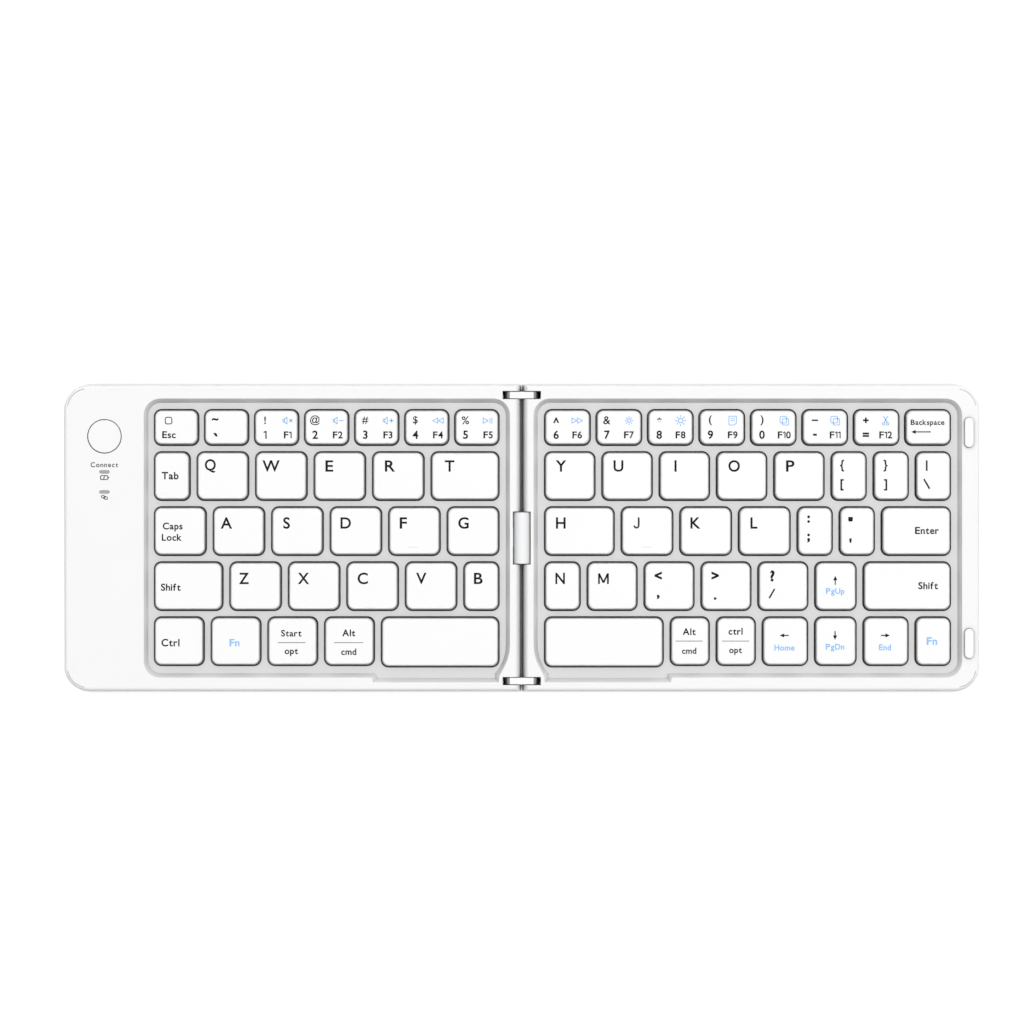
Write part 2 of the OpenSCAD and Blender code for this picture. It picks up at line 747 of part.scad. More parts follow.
module connect_button() {
    flange_z = ceiling_z - stop_gap - button_flange;
    color("white") on_side(-1) {
        post(bay_x, button_y, button_r, flange_z, deck_z + 0.1);
        post(bay_x, button_y, button_r + 1, flange_z, flange_z + button_flange);
    }
}

module cable_barrel() {
    color("gainsboro") {
        rod(0, barrel_z, barrel_r, -barrel_l / 2, barrel_l / 2);
        block(-pocket_x, -barrel_r / 2, -3, 3, part_z + 0.4, part_z + 1.6);
    }
}

module flex_cable() {
    color("darkorange") block(-flex_l / 2, flex_l / 2, -flex_w / 2, flex_w / 2, floor_z, floor_z + flex_t);
}

// ---- Hinge ----

module hinge_links() {
    color("silver") pair_y(link_y) difference() {
        along_y(-link_t / 2, link_t / 2) translate([0, pin_z]) rotate(90) stadium(2 * link_r, 2 * (pin_in + link_r));
        for (s = [-1, 1]) rod(s * pin_in, pin_z, pin_r, -link_t, link_t);
    }
}

module hinge_pins() {
    pin_start = block_y + 0.2;
    color("dimgray") for (s = [-1, 1], e = [-1, 1]) rod(s * pin_in, pin_z, pin_r,
        e > 0 ? pin_start : -pin_start - pin_l, e > 0 ? pin_start + pin_l : -pin_start);
}

// ---- Magnets, pads and screws ----

module magnets(s) {
    on_side(s) for (e = [-1, 1]) post(trim_x, e * magnet_y, magnet_r, ceiling_z - magnet_t, ceiling_z);
}

module left_magnets() {
    color("dimgray") magnets(-1);
}

module right_magnets() {
    color("dimgray") magnets(1);
}

module feet(s) {
    on_side(s) foot_places() cylinder(r = foot_r, h = foot_h + foot_sink, $fn = 64);
}

module left_feet() {
    color("lightgray") feet(-1);
}

module right_rubber_pads() {
    color("lightgray") {
        feet(1);
        pair_y(bumper_y) translate([trim_x, 0, deck_z - bumper_sink]) linear_extrude(bumper_sink + bumper_h)
            stadium(bumper_w, bumper_l);
    }
}

module screws(s) {
    on_side(s) screw_places() {
        difference() {
            translate([0, 0, head_z]) cylinder(r = screw_head_r, h = head_top - head_z, $fn = 48);
            for (a = [0, 90]) rotate(a) translate([0, 0, head_z]) cube([1.8, 0.4, 0.8], center = true);
        }
        translate([0, 0, head_top - eps]) cylinder(r = screw_r, h = thread_top - head_top - 0.3, $fn = 48);
    }
}

module left_screws() {
    color("darkgray") screws(-1);
}

module right_screws() {
    color("darkgray") screws(1);
}

left_bottom_cover();
left_top_frame();
left_key_plate();
left_base_plate();
left_dome_sheet();
left_scissor_frames();
main_circuit_board();
battery();
charging_port();
indicator_lenses();
connect_button();
left_magnets();
left_feet();
left_screws();
cable_barrel();
flex_cable();
hinge_links();
hinge_pins();
right_bottom_cover();
right_top_frame();
right_key_plate();
right_base_plate();
right_dome_sheet();
right_scissor_frames();
right_magnets();
right_rubber_pads();
right_screws();
keycaps("left_number_keys");  // left_number_keys
keycaps("left_modifier_keys");  // left_modifier_keys
keycaps("right_number_keys");  // right_number_keys
keycaps("right_punctuation_keys");  // right_punctuation_keys
keycaps("right_modifier_keys");  // right_modifier_keys
keycaps("key_q");  // key_q
keycaps("key_w");  // key_w
keycaps("key_e");  // key_e
keycaps("key_r");  // key_r
keycaps("key_t");  // key_t
keycaps("key_y");  // key_y
keycaps("key_u");  // key_u
keycaps("key_i");  // key_i
keycaps("key_o");  // key_o
keycaps("key_p");  // key_p
keycaps("key_a");  // key_a
keycaps("key_s");  // key_s
keycaps("key_d");  // key_d
keycaps("key_f");  // key_f
keycaps("key_g");  // key_g
keycaps("key_h");  // key_h
keycaps("key_j");  // key_j
keycaps("key_k");  // key_k
keycaps("key_l");  // key_l
keycaps("key_z");  // key_z
keycaps("key_x");  // key_x
keycaps("key_c");  // key_c
keycaps("key_v");  // key_v
keycaps("key_b");  // key_b
keycaps("key_n");  // key_n
keycaps("key_m");  // key_m
keycaps("left_space_key");  // left_space_key
keycaps("right_space_key");  // right_space_key
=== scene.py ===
"""Looks of the folding keyboard: finishes, moulded keycaps with their legends, and the studio."""
import json
import math

import bmesh
import bpy
from mathutils import Matrix, Vector


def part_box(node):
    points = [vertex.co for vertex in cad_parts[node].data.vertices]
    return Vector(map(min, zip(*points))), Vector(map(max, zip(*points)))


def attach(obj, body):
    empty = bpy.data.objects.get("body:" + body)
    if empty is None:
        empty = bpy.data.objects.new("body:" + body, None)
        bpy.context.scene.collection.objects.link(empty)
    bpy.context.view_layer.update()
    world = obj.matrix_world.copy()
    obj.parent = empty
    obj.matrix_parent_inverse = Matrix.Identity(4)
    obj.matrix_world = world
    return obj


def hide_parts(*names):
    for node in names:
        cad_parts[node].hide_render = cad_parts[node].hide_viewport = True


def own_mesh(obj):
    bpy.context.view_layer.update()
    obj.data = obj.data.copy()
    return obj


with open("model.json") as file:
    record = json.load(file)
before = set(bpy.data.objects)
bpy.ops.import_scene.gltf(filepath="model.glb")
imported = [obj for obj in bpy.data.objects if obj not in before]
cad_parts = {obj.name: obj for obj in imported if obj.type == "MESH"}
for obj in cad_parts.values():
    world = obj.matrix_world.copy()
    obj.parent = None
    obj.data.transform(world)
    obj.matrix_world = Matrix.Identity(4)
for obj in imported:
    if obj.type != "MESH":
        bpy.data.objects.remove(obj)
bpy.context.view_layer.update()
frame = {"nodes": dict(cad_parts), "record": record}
NODES = frame["nodes"]
BODY_OF = {node: body for body, nodes in frame["record"]["behaviour"]["bodies"].items() for node in nodes}
KEY_NODES = [n for n in NODES if n.startswith("key_") or n.endswith("_keys") or n.endswith("_key")]
MM = 0.001

# ---- Sizes, in millimetres ----
DECK_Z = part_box("left_top_frame")[1].z / MM
KEY_TOP_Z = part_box("key_q")[1].z / MM
PLATE_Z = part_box("left_key_plate")[1].z / MM
CASE_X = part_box("right_top_frame")[1].x / MM
CASE_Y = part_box("right_top_frame")[1].y / MM
LENS_HALF = 0.58          # half of an indicator lens's length
KEY_CORNER = 2.1
KEY_RIM_RUN = 0.5
KEY_RIM_RISE = 0.95
KEY_EDGE = 0.22           # width of the round on a cap's edges
ROW_STEP = 4.0            # caps whose rear edges round to one multiple of it stand in one row
HOME_BAR_SIZE = (3.2, 0.45, 0.3)
HOME_BAR_IN = 12.5        # from the cap's rear edge to the bar's middle
HOME_BAR_EDGE = 0.12
CABLE_CORNER = 0.8
CABLE_PARTING = 0.8       # where the cable is parted, as a share of the barrel's right half
PRINT_LIFT = 0.012        # how far a printed mark stands off what carries it
WELD = 2e-6               # metres, within which two corners of a CAD mesh are one
FLAT_ANGLE = 0.6          # degrees, within which two faces of a CAD mesh are one
THIN_LINE, LINE, WIDE_LINE, BOLD_LINE = 0.24, 0.26, 0.3, 0.32
INK_BLACK, INK_BLUE, INK_GREY, INK_PALE, PAINTED_SHADE_LINE = range(5)

# ---- Camera: straight down, over a point a little behind and left of the seam's middle ----
CAMERA_X, CAMERA_Y, CAMERA_Z = -3.11, 8.3, 1050.0
SENSOR = 36.0
LENS = 115.03


def make_camera():
    data = bpy.data.cameras.new("camera")
    data.sensor_width = SENSOR
    data.lens = LENS
    data.clip_end = 10
    camera = bpy.data.objects.new("camera", data)
    camera.location = Vector((CAMERA_X, CAMERA_Y, CAMERA_Z)) * MM
    bpy.context.scene.collection.objects.link(camera)
    bpy.context.scene.camera = camera


# ---- Shader node helpers ----


def new_group(name, inputs, outputs):
    group = bpy.data.node_groups.new(name, "ShaderNodeTree")
    for label, kind, value in inputs:
        socket = group.interface.new_socket(label, in_out="INPUT", socket_type=kind)
        if value is not None:
            socket.default_value = value
    for label, kind in outputs:
        group.interface.new_socket(label, in_out="OUTPUT", socket_type=kind)
    return group, group.nodes.new("NodeGroupInput"), group.nodes.new("NodeGroupOutput")


def node_in(tree, kind, **values):
    node = tree.nodes.new(kind)
    for key, value in values.items():
        if hasattr(node, key) and key not in node.inputs:
            setattr(node, key, value)
        else:
            node.inputs[key].default_value = value
    return node


def make_grain_group():
    """Fine moulded grain: a height for the bump, and a slight drift of tone and gloss."""
    group, given, result = new_group(
        "moulded grain",
        [("Color", "NodeSocketColor", (0.8, 0.8, 0.8, 1)), ("Grain Size", "NodeSocketFloat", 0.3),
         ("Tone Drift", "NodeSocketFloat", 0.02), ("Roughness", "NodeSocketFloat", 0.5),
         ("Roughness Drift", "NodeSocketFloat", 0.06)],
        [("Color", "NodeSocketColor"), ("Roughness", "NodeSocketFloat"), ("Height", "NodeSocketFloat")])
    link = group.links.new
    place = group.nodes.new("ShaderNodeTexCoord")
    scale = node_in(group, "ShaderNodeMath", operation="DIVIDE")
    scale.inputs[0].default_value = 1 / MM
    link(given.outputs["Grain Size"], scale.inputs[1])
    fine = node_in(group, "ShaderNodeTexNoise", Detail=3.0, Roughness=0.6)
    link(place.outputs["Object"], fine.inputs["Vector"])
    link(scale.outputs[0], fine.inputs["Scale"])
    broad = node_in(group, "ShaderNodeTexNoise", Scale=45.0, Detail=2.0)
    link(place.outputs["Object"], broad.inputs["Vector"])
    both = node_in(group, "ShaderNodeMath", operation="ADD")
    link(fine.outputs["Fac"], both.inputs[0])
    link(broad.outputs["Fac"], both.inputs[1])
    centred = node_in(group, "ShaderNodeMath", operation="SUBTRACT")
    centred.inputs[1].default_value = 1.0
    link(both.outputs[0], centred.inputs[0])
    tone = node_in(group, "ShaderNodeMath", operation="MULTIPLY_ADD")
    tone.inputs[2].default_value = 1.0
    link(centred.outputs[0], tone.inputs[0])
    link(given.outputs["Tone Drift"], tone.inputs[1])
    shade = node_in(group, "ShaderNodeVectorMath", operation="SCALE")
    link(given.outputs["Color"], shade.inputs[0])
    link(tone.outputs[0], shade.inputs["Scale"])
    gloss = node_in(group, "ShaderNodeMath", operation="MULTIPLY_ADD")
    link(centred.outputs[0], gloss.inputs[0])
    link(given.outputs["Roughness Drift"], gloss.inputs[1])
    link(given.outputs["Roughness"], gloss.inputs[2])
    link(shade.outputs[0], result.inputs["Color"])
    link(gloss.outputs[0], result.inputs["Roughness"])
    link(fine.outputs["Fac"], result.inputs["Height"])
    return group


def make_depth_group():
    """A mask of height: 0 at Low and below, 1 at High and above, in millimetres."""
    group, given, result = new_group(
        "height mask", [("Low", "NodeSocketFloat", 0.0), ("High", "NodeSocketFloat", 1.0)],
        [("Mask", "NodeSocketFloat")])
    place = group.nodes.new("ShaderNodeTexCoord")
    split = group.nodes.new("ShaderNodeSeparateXYZ")
    group.links.new(place.outputs["Object"], split.inputs[0])
    in_mm = node_in(group, "ShaderNodeMath", operation="MULTIPLY")
    in_mm.inputs[1].default_value = 1 / MM
    group.links.new(split.outputs["Z"], in_mm.inputs[0])
    ramp = group.nodes.new("ShaderNodeMapRange")
    group.links.new(in_mm.outputs[0], ramp.inputs["Value"])
    group.links.new(given.outputs["Low"], ramp.inputs["From Min"])
    group.links.new(given.outputs["High"], ramp.inputs["From Max"])
    group.links.new(ramp.outputs["Result"], result.inputs["Mask"])
    return group


def make_edge_group():
    """Brightened metal where the surface turns sharply."""
    group, given, result = new_group(
        "polished edges",
        [("Color", "NodeSocketColor", (0.5, 0.5, 0.5, 1)), ("Amount", "NodeSocketFloat", 0.3)],
        [("Color", "NodeSocketColor")])
    geometry = group.nodes.new("ShaderNodeNewGeometry")
    ramp = node_in(group, "ShaderNodeMapRange")
    ramp.inputs["From Min"].default_value = 0.5
    ramp.inputs["From Max"].default_value = 0.65
    group.links.new(geometry.outputs["Pointiness"], ramp.inputs["Value"])
    weight = node_in(group, "ShaderNodeMath", operation="MULTIPLY")
    group.links.new(ramp.outputs["Result"], weight.inputs[0])
    group.links.new(given.outputs["Amount"], weight.inputs[1])
    blend = node_in(group, "ShaderNodeMix", data_type="RGBA")
    group.links.new(weight.outputs[0], blend.inputs[0])
    group.links.new(given.outputs["Color"], blend.inputs[6])
    blend.inputs[7].default_value = (0.9, 0.9, 0.9, 1)
    group.links.new(blend.outputs[2], result.inputs["Color"])
    return group


def make_hollow_group():
    """Painted shade: darkens a colour by the given amount in hollows and slots, which an ambient-occlusion
    test finds.
    """
    group, given, result = new_group(
        "painted hollow shade",
        [("Color", "NodeSocketColor", (0.8, 0.8, 0.8, 1)), ("Amount", "NodeSocketFloat", 0.5),
         ("Reach", "NodeSocketFloat", 6.0 * MM)],
        [("Color", "NodeSocketColor")])
    openness = node_in(group, "ShaderNodeAmbientOcclusion", samples=6)
    group.links.new(given.outputs["Reach"], openness.inputs["Distance"])
    closed = node_in(group, "ShaderNodeMath", operation="SUBTRACT")
    closed.inputs[0].default_value = 1.0
    group.links.new(openness.outputs["AO"], closed.inputs[1])
    weight = node_in(group, "ShaderNodeMath", operation="MULTIPLY")
    group.links.new(closed.outputs[0], weight.inputs[0])
    group.links.new(given.outputs["Amount"], weight.inputs[1])
    blend = node_in(group, "ShaderNodeMix", data_type="RGBA")
    group.links.new(weight.outputs[0], blend.inputs[0])
    group.links.new(given.outputs["Color"], blend.inputs[6])
    blend.inputs[7].default_value = (0.02, 0.02, 0.02, 1)
    group.links.new(blend.outputs[2], result.inputs["Color"])
    return group


GRAIN = make_grain_group()
HEIGHT_MASK = make_depth_group()
POLISHED_EDGES = make_edge_group()
PAINTED_HOLLOW_SHADE = make_hollow_group()


def start_material(name):
    material = bpy.data.materials.new(name)
    material.use_nodes = True
    tree = material.node_tree
    return material, tree, tree.nodes["Principled BSDF"]


def grained(name, color, roughness, grain=0.3, bump=0.15, tone_drift=0.02, specular=0.5, metallic=0.0,
            painted_shade_below=None, low=0.0, high=1.0, painted_hollow_shade=0.0):
    """A moulded or rolled finish. Below a height it turns to a darker colour painted as shade, where one is
    given, and in hollows it is darkened as painted shade by the given amount.
    """
    material, tree, shader = start_material(name)
    look = node_in(tree, "ShaderNodeGroup", node_tree=GRAIN)
    look.inputs["Color"].default_value = (*color, 1)
    look.inputs["Grain Size"].default_value = grain
    look.inputs["Tone Drift"].default_value = tone_drift
    look.inputs["Roughness"].default_value = roughness
    color_out = look.outputs["Color"]
    if painted_shade_below:
        mask = node_in(tree, "ShaderNodeGroup", node_tree=HEIGHT_MASK)
        mask.inputs["Low"].default_value = low
        mask.inputs["High"].default_value = high
        blend = node_in(tree, "ShaderNodeMix", data_type="RGBA")
        blend.inputs[6].default_value = (*painted_shade_below, 1)
        tree.links.new(mask.outputs["Mask"], blend.inputs[0])
        tree.links.new(color_out, blend.inputs[7])
        color_out = blend.outputs[2]
    if metallic:
        edges = node_in(tree, "ShaderNodeGroup", node_tree=POLISHED_EDGES)
        tree.links.new(color_out, edges.inputs["Color"])
        color_out = edges.outputs["Color"]
    if painted_hollow_shade:
        shaded = node_in(tree, "ShaderNodeGroup", node_tree=PAINTED_HOLLOW_SHADE)
        shaded.inputs["Amount"].default_value = painted_hollow_shade
        tree.links.new(color_out, shaded.inputs["Color"])
        color_out = shaded.outputs["Color"]
    tree.links.new(color_out, shader.inputs["Base Color"])
    tree.links.new(look.outputs["Roughness"], shader.inputs["Roughness"])
    relief = node_in(tree, "ShaderNodeBump", Strength=bump, Distance=0.02 * MM)
    tree.links.new(look.outputs["Height"], relief.inputs["Height"])
    tree.links.new(relief.outputs["Normal"], shader.inputs["Normal"])
    shader.inputs["Specular IOR Level"].default_value = specular
    shader.inputs["Metallic"].default_value = metallic
    return material


# Painted shade: the case's white darkens in the key wells, slots and other hollows.
CASE_WHITE = grained("case white", (0.885, 0.882, 0.878), 0.42, grain=0.35, bump=0.35, tone_drift=0.03,
                     painted_hollow_shade=1.2)
COVER_WHITE = grained("cover white", (0.80, 0.805, 0.81), 0.5, grain=0.35, bump=0.3)
# Painted shade: the plate's grey darkens beside the keys, and turns near black down the walls of its key
# holes.
PLATE_GREY = grained("plate grey", (0.70, 0.70, 0.70), 0.5, grain=0.4, bump=0.25, tone_drift=0.03, painted_hollow_shade=0.5,
                     painted_shade_below=(0.06, 0.06, 0.062), low=PLATE_Z - 0.3, high=PLATE_Z - 0.05)
# Painted shade: each cap's skirt turns dark grey below its top, standing in for the shadow in the gap around
# it.
KEY_WHITE = grained("key white", (0.91, 0.91, 0.91), 0.38, grain=0.25, bump=0.12, tone_drift=0.012,
                    painted_shade_below=(0.13, 0.13, 0.132), low=KEY_TOP_Z - 0.8, high=KEY_TOP_Z - 0.15)
# Painted shade: the link's metal darkens a little where its ends run into their slots.
LINK_METAL = grained("link metal", (0.97, 0.97, 0.97), 0.12, grain=0.5, bump=0.05, metallic=1.0, painted_hollow_shade=0.2)
PIN_STEEL = grained("pin steel", (0.42, 0.42, 0.44), 0.3, grain=0.3, bump=0.1, metallic=1.0)
STEEL_SHEET = grained("steel sheet", (0.45, 0.46, 0.48), 0.4, grain=0.5, bump=0.1, metallic=1.0)
PORT_SHELL = grained("port shell", (0.6, 0.6, 0.62), 0.25, grain=0.3, bump=0.05, metallic=1.0)
MAGNET_METAL = grained("magnet metal", (0.5, 0.5, 0.5), 0.3, grain=0.4, bump=0.05, metallic=1.0)
CELL_FOIL = grained("cell foil", (0.6, 0.62, 0.64), 0.35, grain=1.0, bump=0.3, metallic=0.8)
DOME_RUBBER = grained("dome rubber", (0.10, 0.105, 0.11), 0.6, grain=0.3)
SCISSOR_PLASTIC = grained("scissor plastic", (0.12, 0.12, 0.12), 0.45, grain=0.3)
BOARD_GREEN = grained("board green", (0.03, 0.2, 0.09), 0.35, grain=1.2, tone_drift=0.2)
FLEX_FILM = grained("flex film", (0.6, 0.3, 0.05), 0.35, grain=0.8)
LENS_GREY = grained("lens grey", (0.36, 0.365, 0.37), 0.25, grain=0.6, bump=0.05)
# Painted shade: the button turns near black where it sinks below the deck into its hole.
BUTTON_WHITE = grained("button white", (0.88, 0.88, 0.88), 0.3, grain=0.4, bump=0.05,
                       painted_shade_below=(0.03, 0.03, 0.03), low=DECK_Z - 0.12, high=DECK_Z + 0.085)
# Painted shade: each bumper's sides turn grey below its top; the right half's feet, wholly below, are that
# grey all over.
PAD_RUBBER = grained("pad rubber", (0.93, 0.93, 0.93), 0.6, grain=0.25, bump=0.3,
                     painted_shade_below=(0.3, 0.3, 0.3), low=DECK_Z + 0.45, high=DECK_Z + 0.72)
FOOT_RUBBER = grained("foot rubber", (0.42, 0.42, 0.43), 0.7, grain=0.25, bump=0.5)
BARREL_PLASTIC = grained("barrel plastic", (0.86, 0.865, 0.87), 0.3, grain=0.4, bump=0.1)


def printed(name, color):
    return grained(name, color, 0.5, grain=0.2, bump=0.05, tone_drift=0.05, specular=0.15)


# Print colours; the last is a grey for the painted shade line inside each deck corner.
INKS = [printed("ink black", (0.012, 0.01, 0.01)), printed("ink blue", (0.25, 0.50, 0.87)),
        printed("ink grey", (0.05, 0.05, 0.052)), printed("ink pale", (0.6, 0.6, 0.6)),
        printed("painted corner shade", (0.5, 0.5, 0.5))]


# ---- Mesh helpers ----


def put(name, mesh, materials, body, replaces=()):
    """Links a finished mesh as a piece of the object, riding on its body."""
    piece = bpy.data.objects.new(name, mesh)
    bpy.context.scene.collection.objects.link(piece)
    for material in materials:
        mesh.materials.append(material)
    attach(piece, body)
    if replaces:
        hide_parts(*replaces)
    return piece


def merged_copy(node):
    """The node's mesh with its loose triangles joined into whole faces."""
    work = bmesh.new()
    work.from_mesh(NODES[node].data)
    bmesh.ops.remove_doubles(work, verts=work.verts, dist=WELD)
    bmesh.ops.dissolve_limit(work, angle_limit=math.radians(FLAT_ANGLE), verts=work.verts, edges=work.edges)
    return work


def evaluated_mesh(piece):
    graph = bpy.context.evaluated_depsgraph_get()
    return bpy.data.meshes.new_from_object(piece.evaluated_get(graph), depsgraph=graph)


def smooth_sides(mesh, angle=35):
    for polygon in mesh.polygons:
        polygon.use_smooth = True
    mesh.set_sharp_from_angle(angle=math.radians(angle))


def dress(node, material, edge=0.0, angle=35):
    """Stands a smooth copy in for a CAD node, with its sharp edges broken by the given width."""
    work = merged_copy(node)
    mesh = bpy.data.meshes.new(node + "_dressed")
    work.to_mesh(mesh)
    work.free()
    smooth_sides(mesh, angle)
    shell = bpy.data.objects.new("shell", mesh)
    bpy.context.scene.collection.objects.link(shell)
    bevel = shell.modifiers.new("edge", "BEVEL")
    bevel.width = edge * MM
    bevel.segments = 2
    bevel.limit_method = "ANGLE"
    bevel.angle_limit = math.radians(angle)
    bevel.use_clamp_overlap = True
    weigh = shell.modifiers.new("normals", "WEIGHTED_NORMAL")
    weigh.keep_sharp = True
    mesh = evaluated_mesh(shell)
    bpy.data.objects.remove(shell)
    return put(node + "_finish", mesh, [material], BODY_OF[node], [node])


def finish_node(node, material):
    """Gives a hidden or inner CAD node its material."""
    data = NODES[node].data
    data.materials.clear()
    data.materials.append(material)


# ---- Keycaps ----


def make_keycap_tree():
    """Geometry nodes that mould one keycap: a rounded outline, a straight skirt and a drawn-in rim."""
    tree = bpy.data.node_groups.new("keycap", "GeometryNodeTree")
    face = tree.interface
    face.new_socket("Geometry", in_out="OUTPUT", socket_type="NodeSocketGeometry")
    for label in ("Width", "Depth", "Corner", "Skirt", "Rim Rise", "Rim Run"):
        face.new_socket(label, in_out="INPUT", socket_type="NodeSocketFloat")
    face.new_socket("Place", in_out="INPUT", socket_type="NodeSocketVector")
    face.new_socket("Finish", in_out="INPUT", socket_type="NodeSocketMaterial")
    link = tree.links.new
    given = tree.nodes.new("NodeGroupInput")
    result = tree.nodes.new("NodeGroupOutput")
    outline = tree.nodes.new("GeometryNodeCurvePrimitiveQuadrilateral")
    link(given.outputs["Width"], outline.inputs["Width"])
    link(given.outputs["Depth"], outline.inputs["Height"])
    corners = tree.nodes.new("GeometryNodeFilletCurve")
    corners.mode = "POLY"
    corners.inputs["Count"].default_value = 8
    link(outline.outputs[0], corners.inputs["Curve"])
    link(given.outputs["Corner"], corners.inputs["Radius"])
    sheet = tree.nodes.new("GeometryNodeFillCurve")
    sheet.mode = "NGONS"
    link(corners.outputs[0], sheet.inputs["Curve"])

    def raised(mesh, top, height):
        step = tree.nodes.new("GeometryNodeExtrudeMesh")
        step.mode = "FACES"
        step.inputs["Individual"].default_value = False
        up = node_in(tree, "ShaderNodeCombineXYZ")
        up.inputs["Z"].default_value = 1.0
        link(up.outputs[0], step.inputs["Offset"])
        link(height, step.inputs["Offset Scale"])
        link(mesh, step.inputs["Mesh"])
        if top is not None:
            link(top, step.inputs["Selection"])
        return step

    skirt = raised(sheet.outputs[0], None, given.outputs["Skirt"])
    rim = raised(skirt.outputs["Mesh"], skirt.outputs["Top"], given.outputs["Rim Rise"])

    def drawn_in(size):
        """The factor that draws a length in by the rim's run at both ends."""
        share = node_in(tree, "ShaderNodeMath", operation="DIVIDE")
        link(given.outputs["Rim Run"], share.inputs[0])
        link(size, share.inputs[1])
        factor = node_in(tree, "ShaderNodeMath", operation="MULTIPLY_ADD")
        factor.inputs[1].default_value = -2.0
        factor.inputs[2].default_value = 1.0
        link(share.outputs[0], factor.inputs[0])
        return factor.outputs[0]

    shrink = node_in(tree, "ShaderNodeCombineXYZ")
    shrink.inputs["Z"].default_value = 1.0
    link(drawn_in(given.outputs["Width"]), shrink.inputs["X"])
    link(drawn_in(given.outputs["Depth"]), shrink.inputs["Y"])
    where = tree.nodes.new("GeometryNodeInputPosition")
    scaled = node_in(tree, "ShaderNodeVectorMath", operation="MULTIPLY")
    link(where.outputs[0], scaled.inputs[0])
    link(shrink.outputs[0], scaled.inputs[1])
    top = tree.nodes.new("GeometryNodeSetPosition")
    link(rim.outputs["Mesh"], top.inputs["Geometry"])
    link(rim.outputs["Top"], top.inputs["Selection"])
    link(scaled.outputs[0], top.inputs["Position"])
    bottom = tree.nodes.new("GeometryNodeFlipFaces")
    link(sheet.outputs[0], bottom.inputs[0])
    whole = tree.nodes.new("GeometryNodeJoinGeometry")
    link(top.outputs[0], whole.inputs[0])
    link(bottom.outputs[0], whole.inputs[0])
    welded = tree.nodes.new("GeometryNodeMergeByDistance")
    welded.inputs["Distance"].default_value = 1e-6
    link(whole.outputs[0], welded.inputs[0])
    move = tree.nodes.new("GeometryNodeTransform")
    link(welded.outputs[0], move.inputs["Geometry"])
    link(given.outputs["Place"], move.inputs["Translation"])
    real = tree.nodes.new("GeometryNodeRealizeInstances")
    link(move.outputs[0], real.inputs[0])
    finish = tree.nodes.new("GeometryNodeSetMaterial")
    link(real.outputs[0], finish.inputs["Geometry"])
    link(given.outputs["Finish"], finish.inputs["Material"])
    link(finish.outputs[0], result.inputs[0])
    return tree


def socket_ids(tree):
    return {item.name: item.identifier for item in tree.interface.items_tree
            if item.item_type == "SOCKET" and item.in_out == "INPUT"}


KEYCAP_TREE = make_keycap_tree()
KEYCAP_SOCKETS = socket_ids(KEYCAP_TREE)


def caps_of(node):
    """The boxes of a node's separate keycaps, from the rear row to the front, then from left to right."""
    work = bmesh.new()
    work.from_mesh(NODES[node].data)
    bmesh.ops.remove_doubles(work, verts=work.verts, dist=WELD)
    left, boxes = set(work.verts), []
    while left:
        stack = [left.pop()]
        low, high = stack[0].co.copy(), stack[0].co.copy()
        while stack:
            vert = stack.pop()
            low = Vector(map(min, low, vert.co))
            high = Vector(map(max, high, vert.co))
            for edge in vert.link_edges:
                other = edge.other_vert(vert)
                if other in left:
                    left.remove(other)
                    stack.append(other)
        boxes.append((low, high))
    work.free()
    return sorted(boxes, key=lambda box: (-round(box[1].y / MM / ROW_STEP), box[0].x))


def mould_keycap(low, high):
    """One keycap that fills the given box, with its edges rounded."""
    mesh = bpy.data.meshes.new("keycap")
    cap = bpy.data.objects.new("keycap", mesh)
    bpy.context.scene.collection.objects.link(cap)
    shape = cap.modifiers.new("shape", "NODES")
    shape.node_group = KEYCAP_TREE
    values = {
        "Width": high.x - low.x, "Depth": high.y - low.y, "Corner": KEY_CORNER * MM,
        "Skirt": high.z - low.z - KEY_RIM_RISE * MM,
        "Rim Rise": KEY_RIM_RISE * MM, "Rim Run": KEY_RIM_RUN * MM,
        "Place": ((low.x + high.x) / 2, (low.y + high.y) / 2, low.z), "Finish": KEY_WHITE}
    for label, value in values.items():
        shape[KEYCAP_SOCKETS[label]] = value
    bevel = cap.modifiers.new("edges", "BEVEL")
    bevel.width = KEY_EDGE * MM
    bevel.segments = 3
    bevel.limit_method = "ANGLE"
    bevel.angle_limit = math.radians(25)
    result = evaluated_mesh(cap)
    bpy.data.objects.remove(cap)
    return result


def join_meshes(name, meshes):
    work = bmesh.new()
    for mesh in meshes:
        work.from_mesh(mesh)
    joined = bpy.data.meshes.new(name)
    work.to_mesh(joined)
    work.free()
    smooth_sides(joined, angle=30)
    shell = bpy.data.objects.new("shell", joined)
    bpy.context.scene.collection.objects.link(shell)
    shell.modifiers.new("normals", "WEIGHTED_NORMAL")
    joined = evaluated_mesh(shell)
    bpy.data.objects.remove(shell)
    return joined


# ---- Legends: every mark is placed from the cap's left and rear edges, in millimetres ----


class Marks:
    """Flat printed shapes gathered into one mesh."""

    def __init__(self):
        self.work = bmesh.new()

    def face(self, points, ink):
        verts = [self.work.verts.new((x * MM, y * MM, 0)) for x, y in points]
        polygon = self.work.faces.new(verts)
        if polygon.normal.z < 0 or area_of(points) < 0:
            polygon.normal_flip()
        polygon.material_index = ink

    def mesh(self, mesh, matrix, ink):
        start = len(self.work.faces)
        copy = mesh.copy()
        copy.transform(matrix)
        self.work.from_mesh(copy)
        bpy.data.meshes.remove(copy)
        self.work.faces.ensure_lookup_table()
        for polygon in self.work.faces[start:]:
            polygon.material_index = ink

    def lift(self, z):
        for vert in self.work.verts:
            vert.co.z += z * MM


def area_of(points):
    return sum(a[0] * b[1] - b[0] * a[1] for a, b in zip(points, points[1:] + points[:1])) / 2


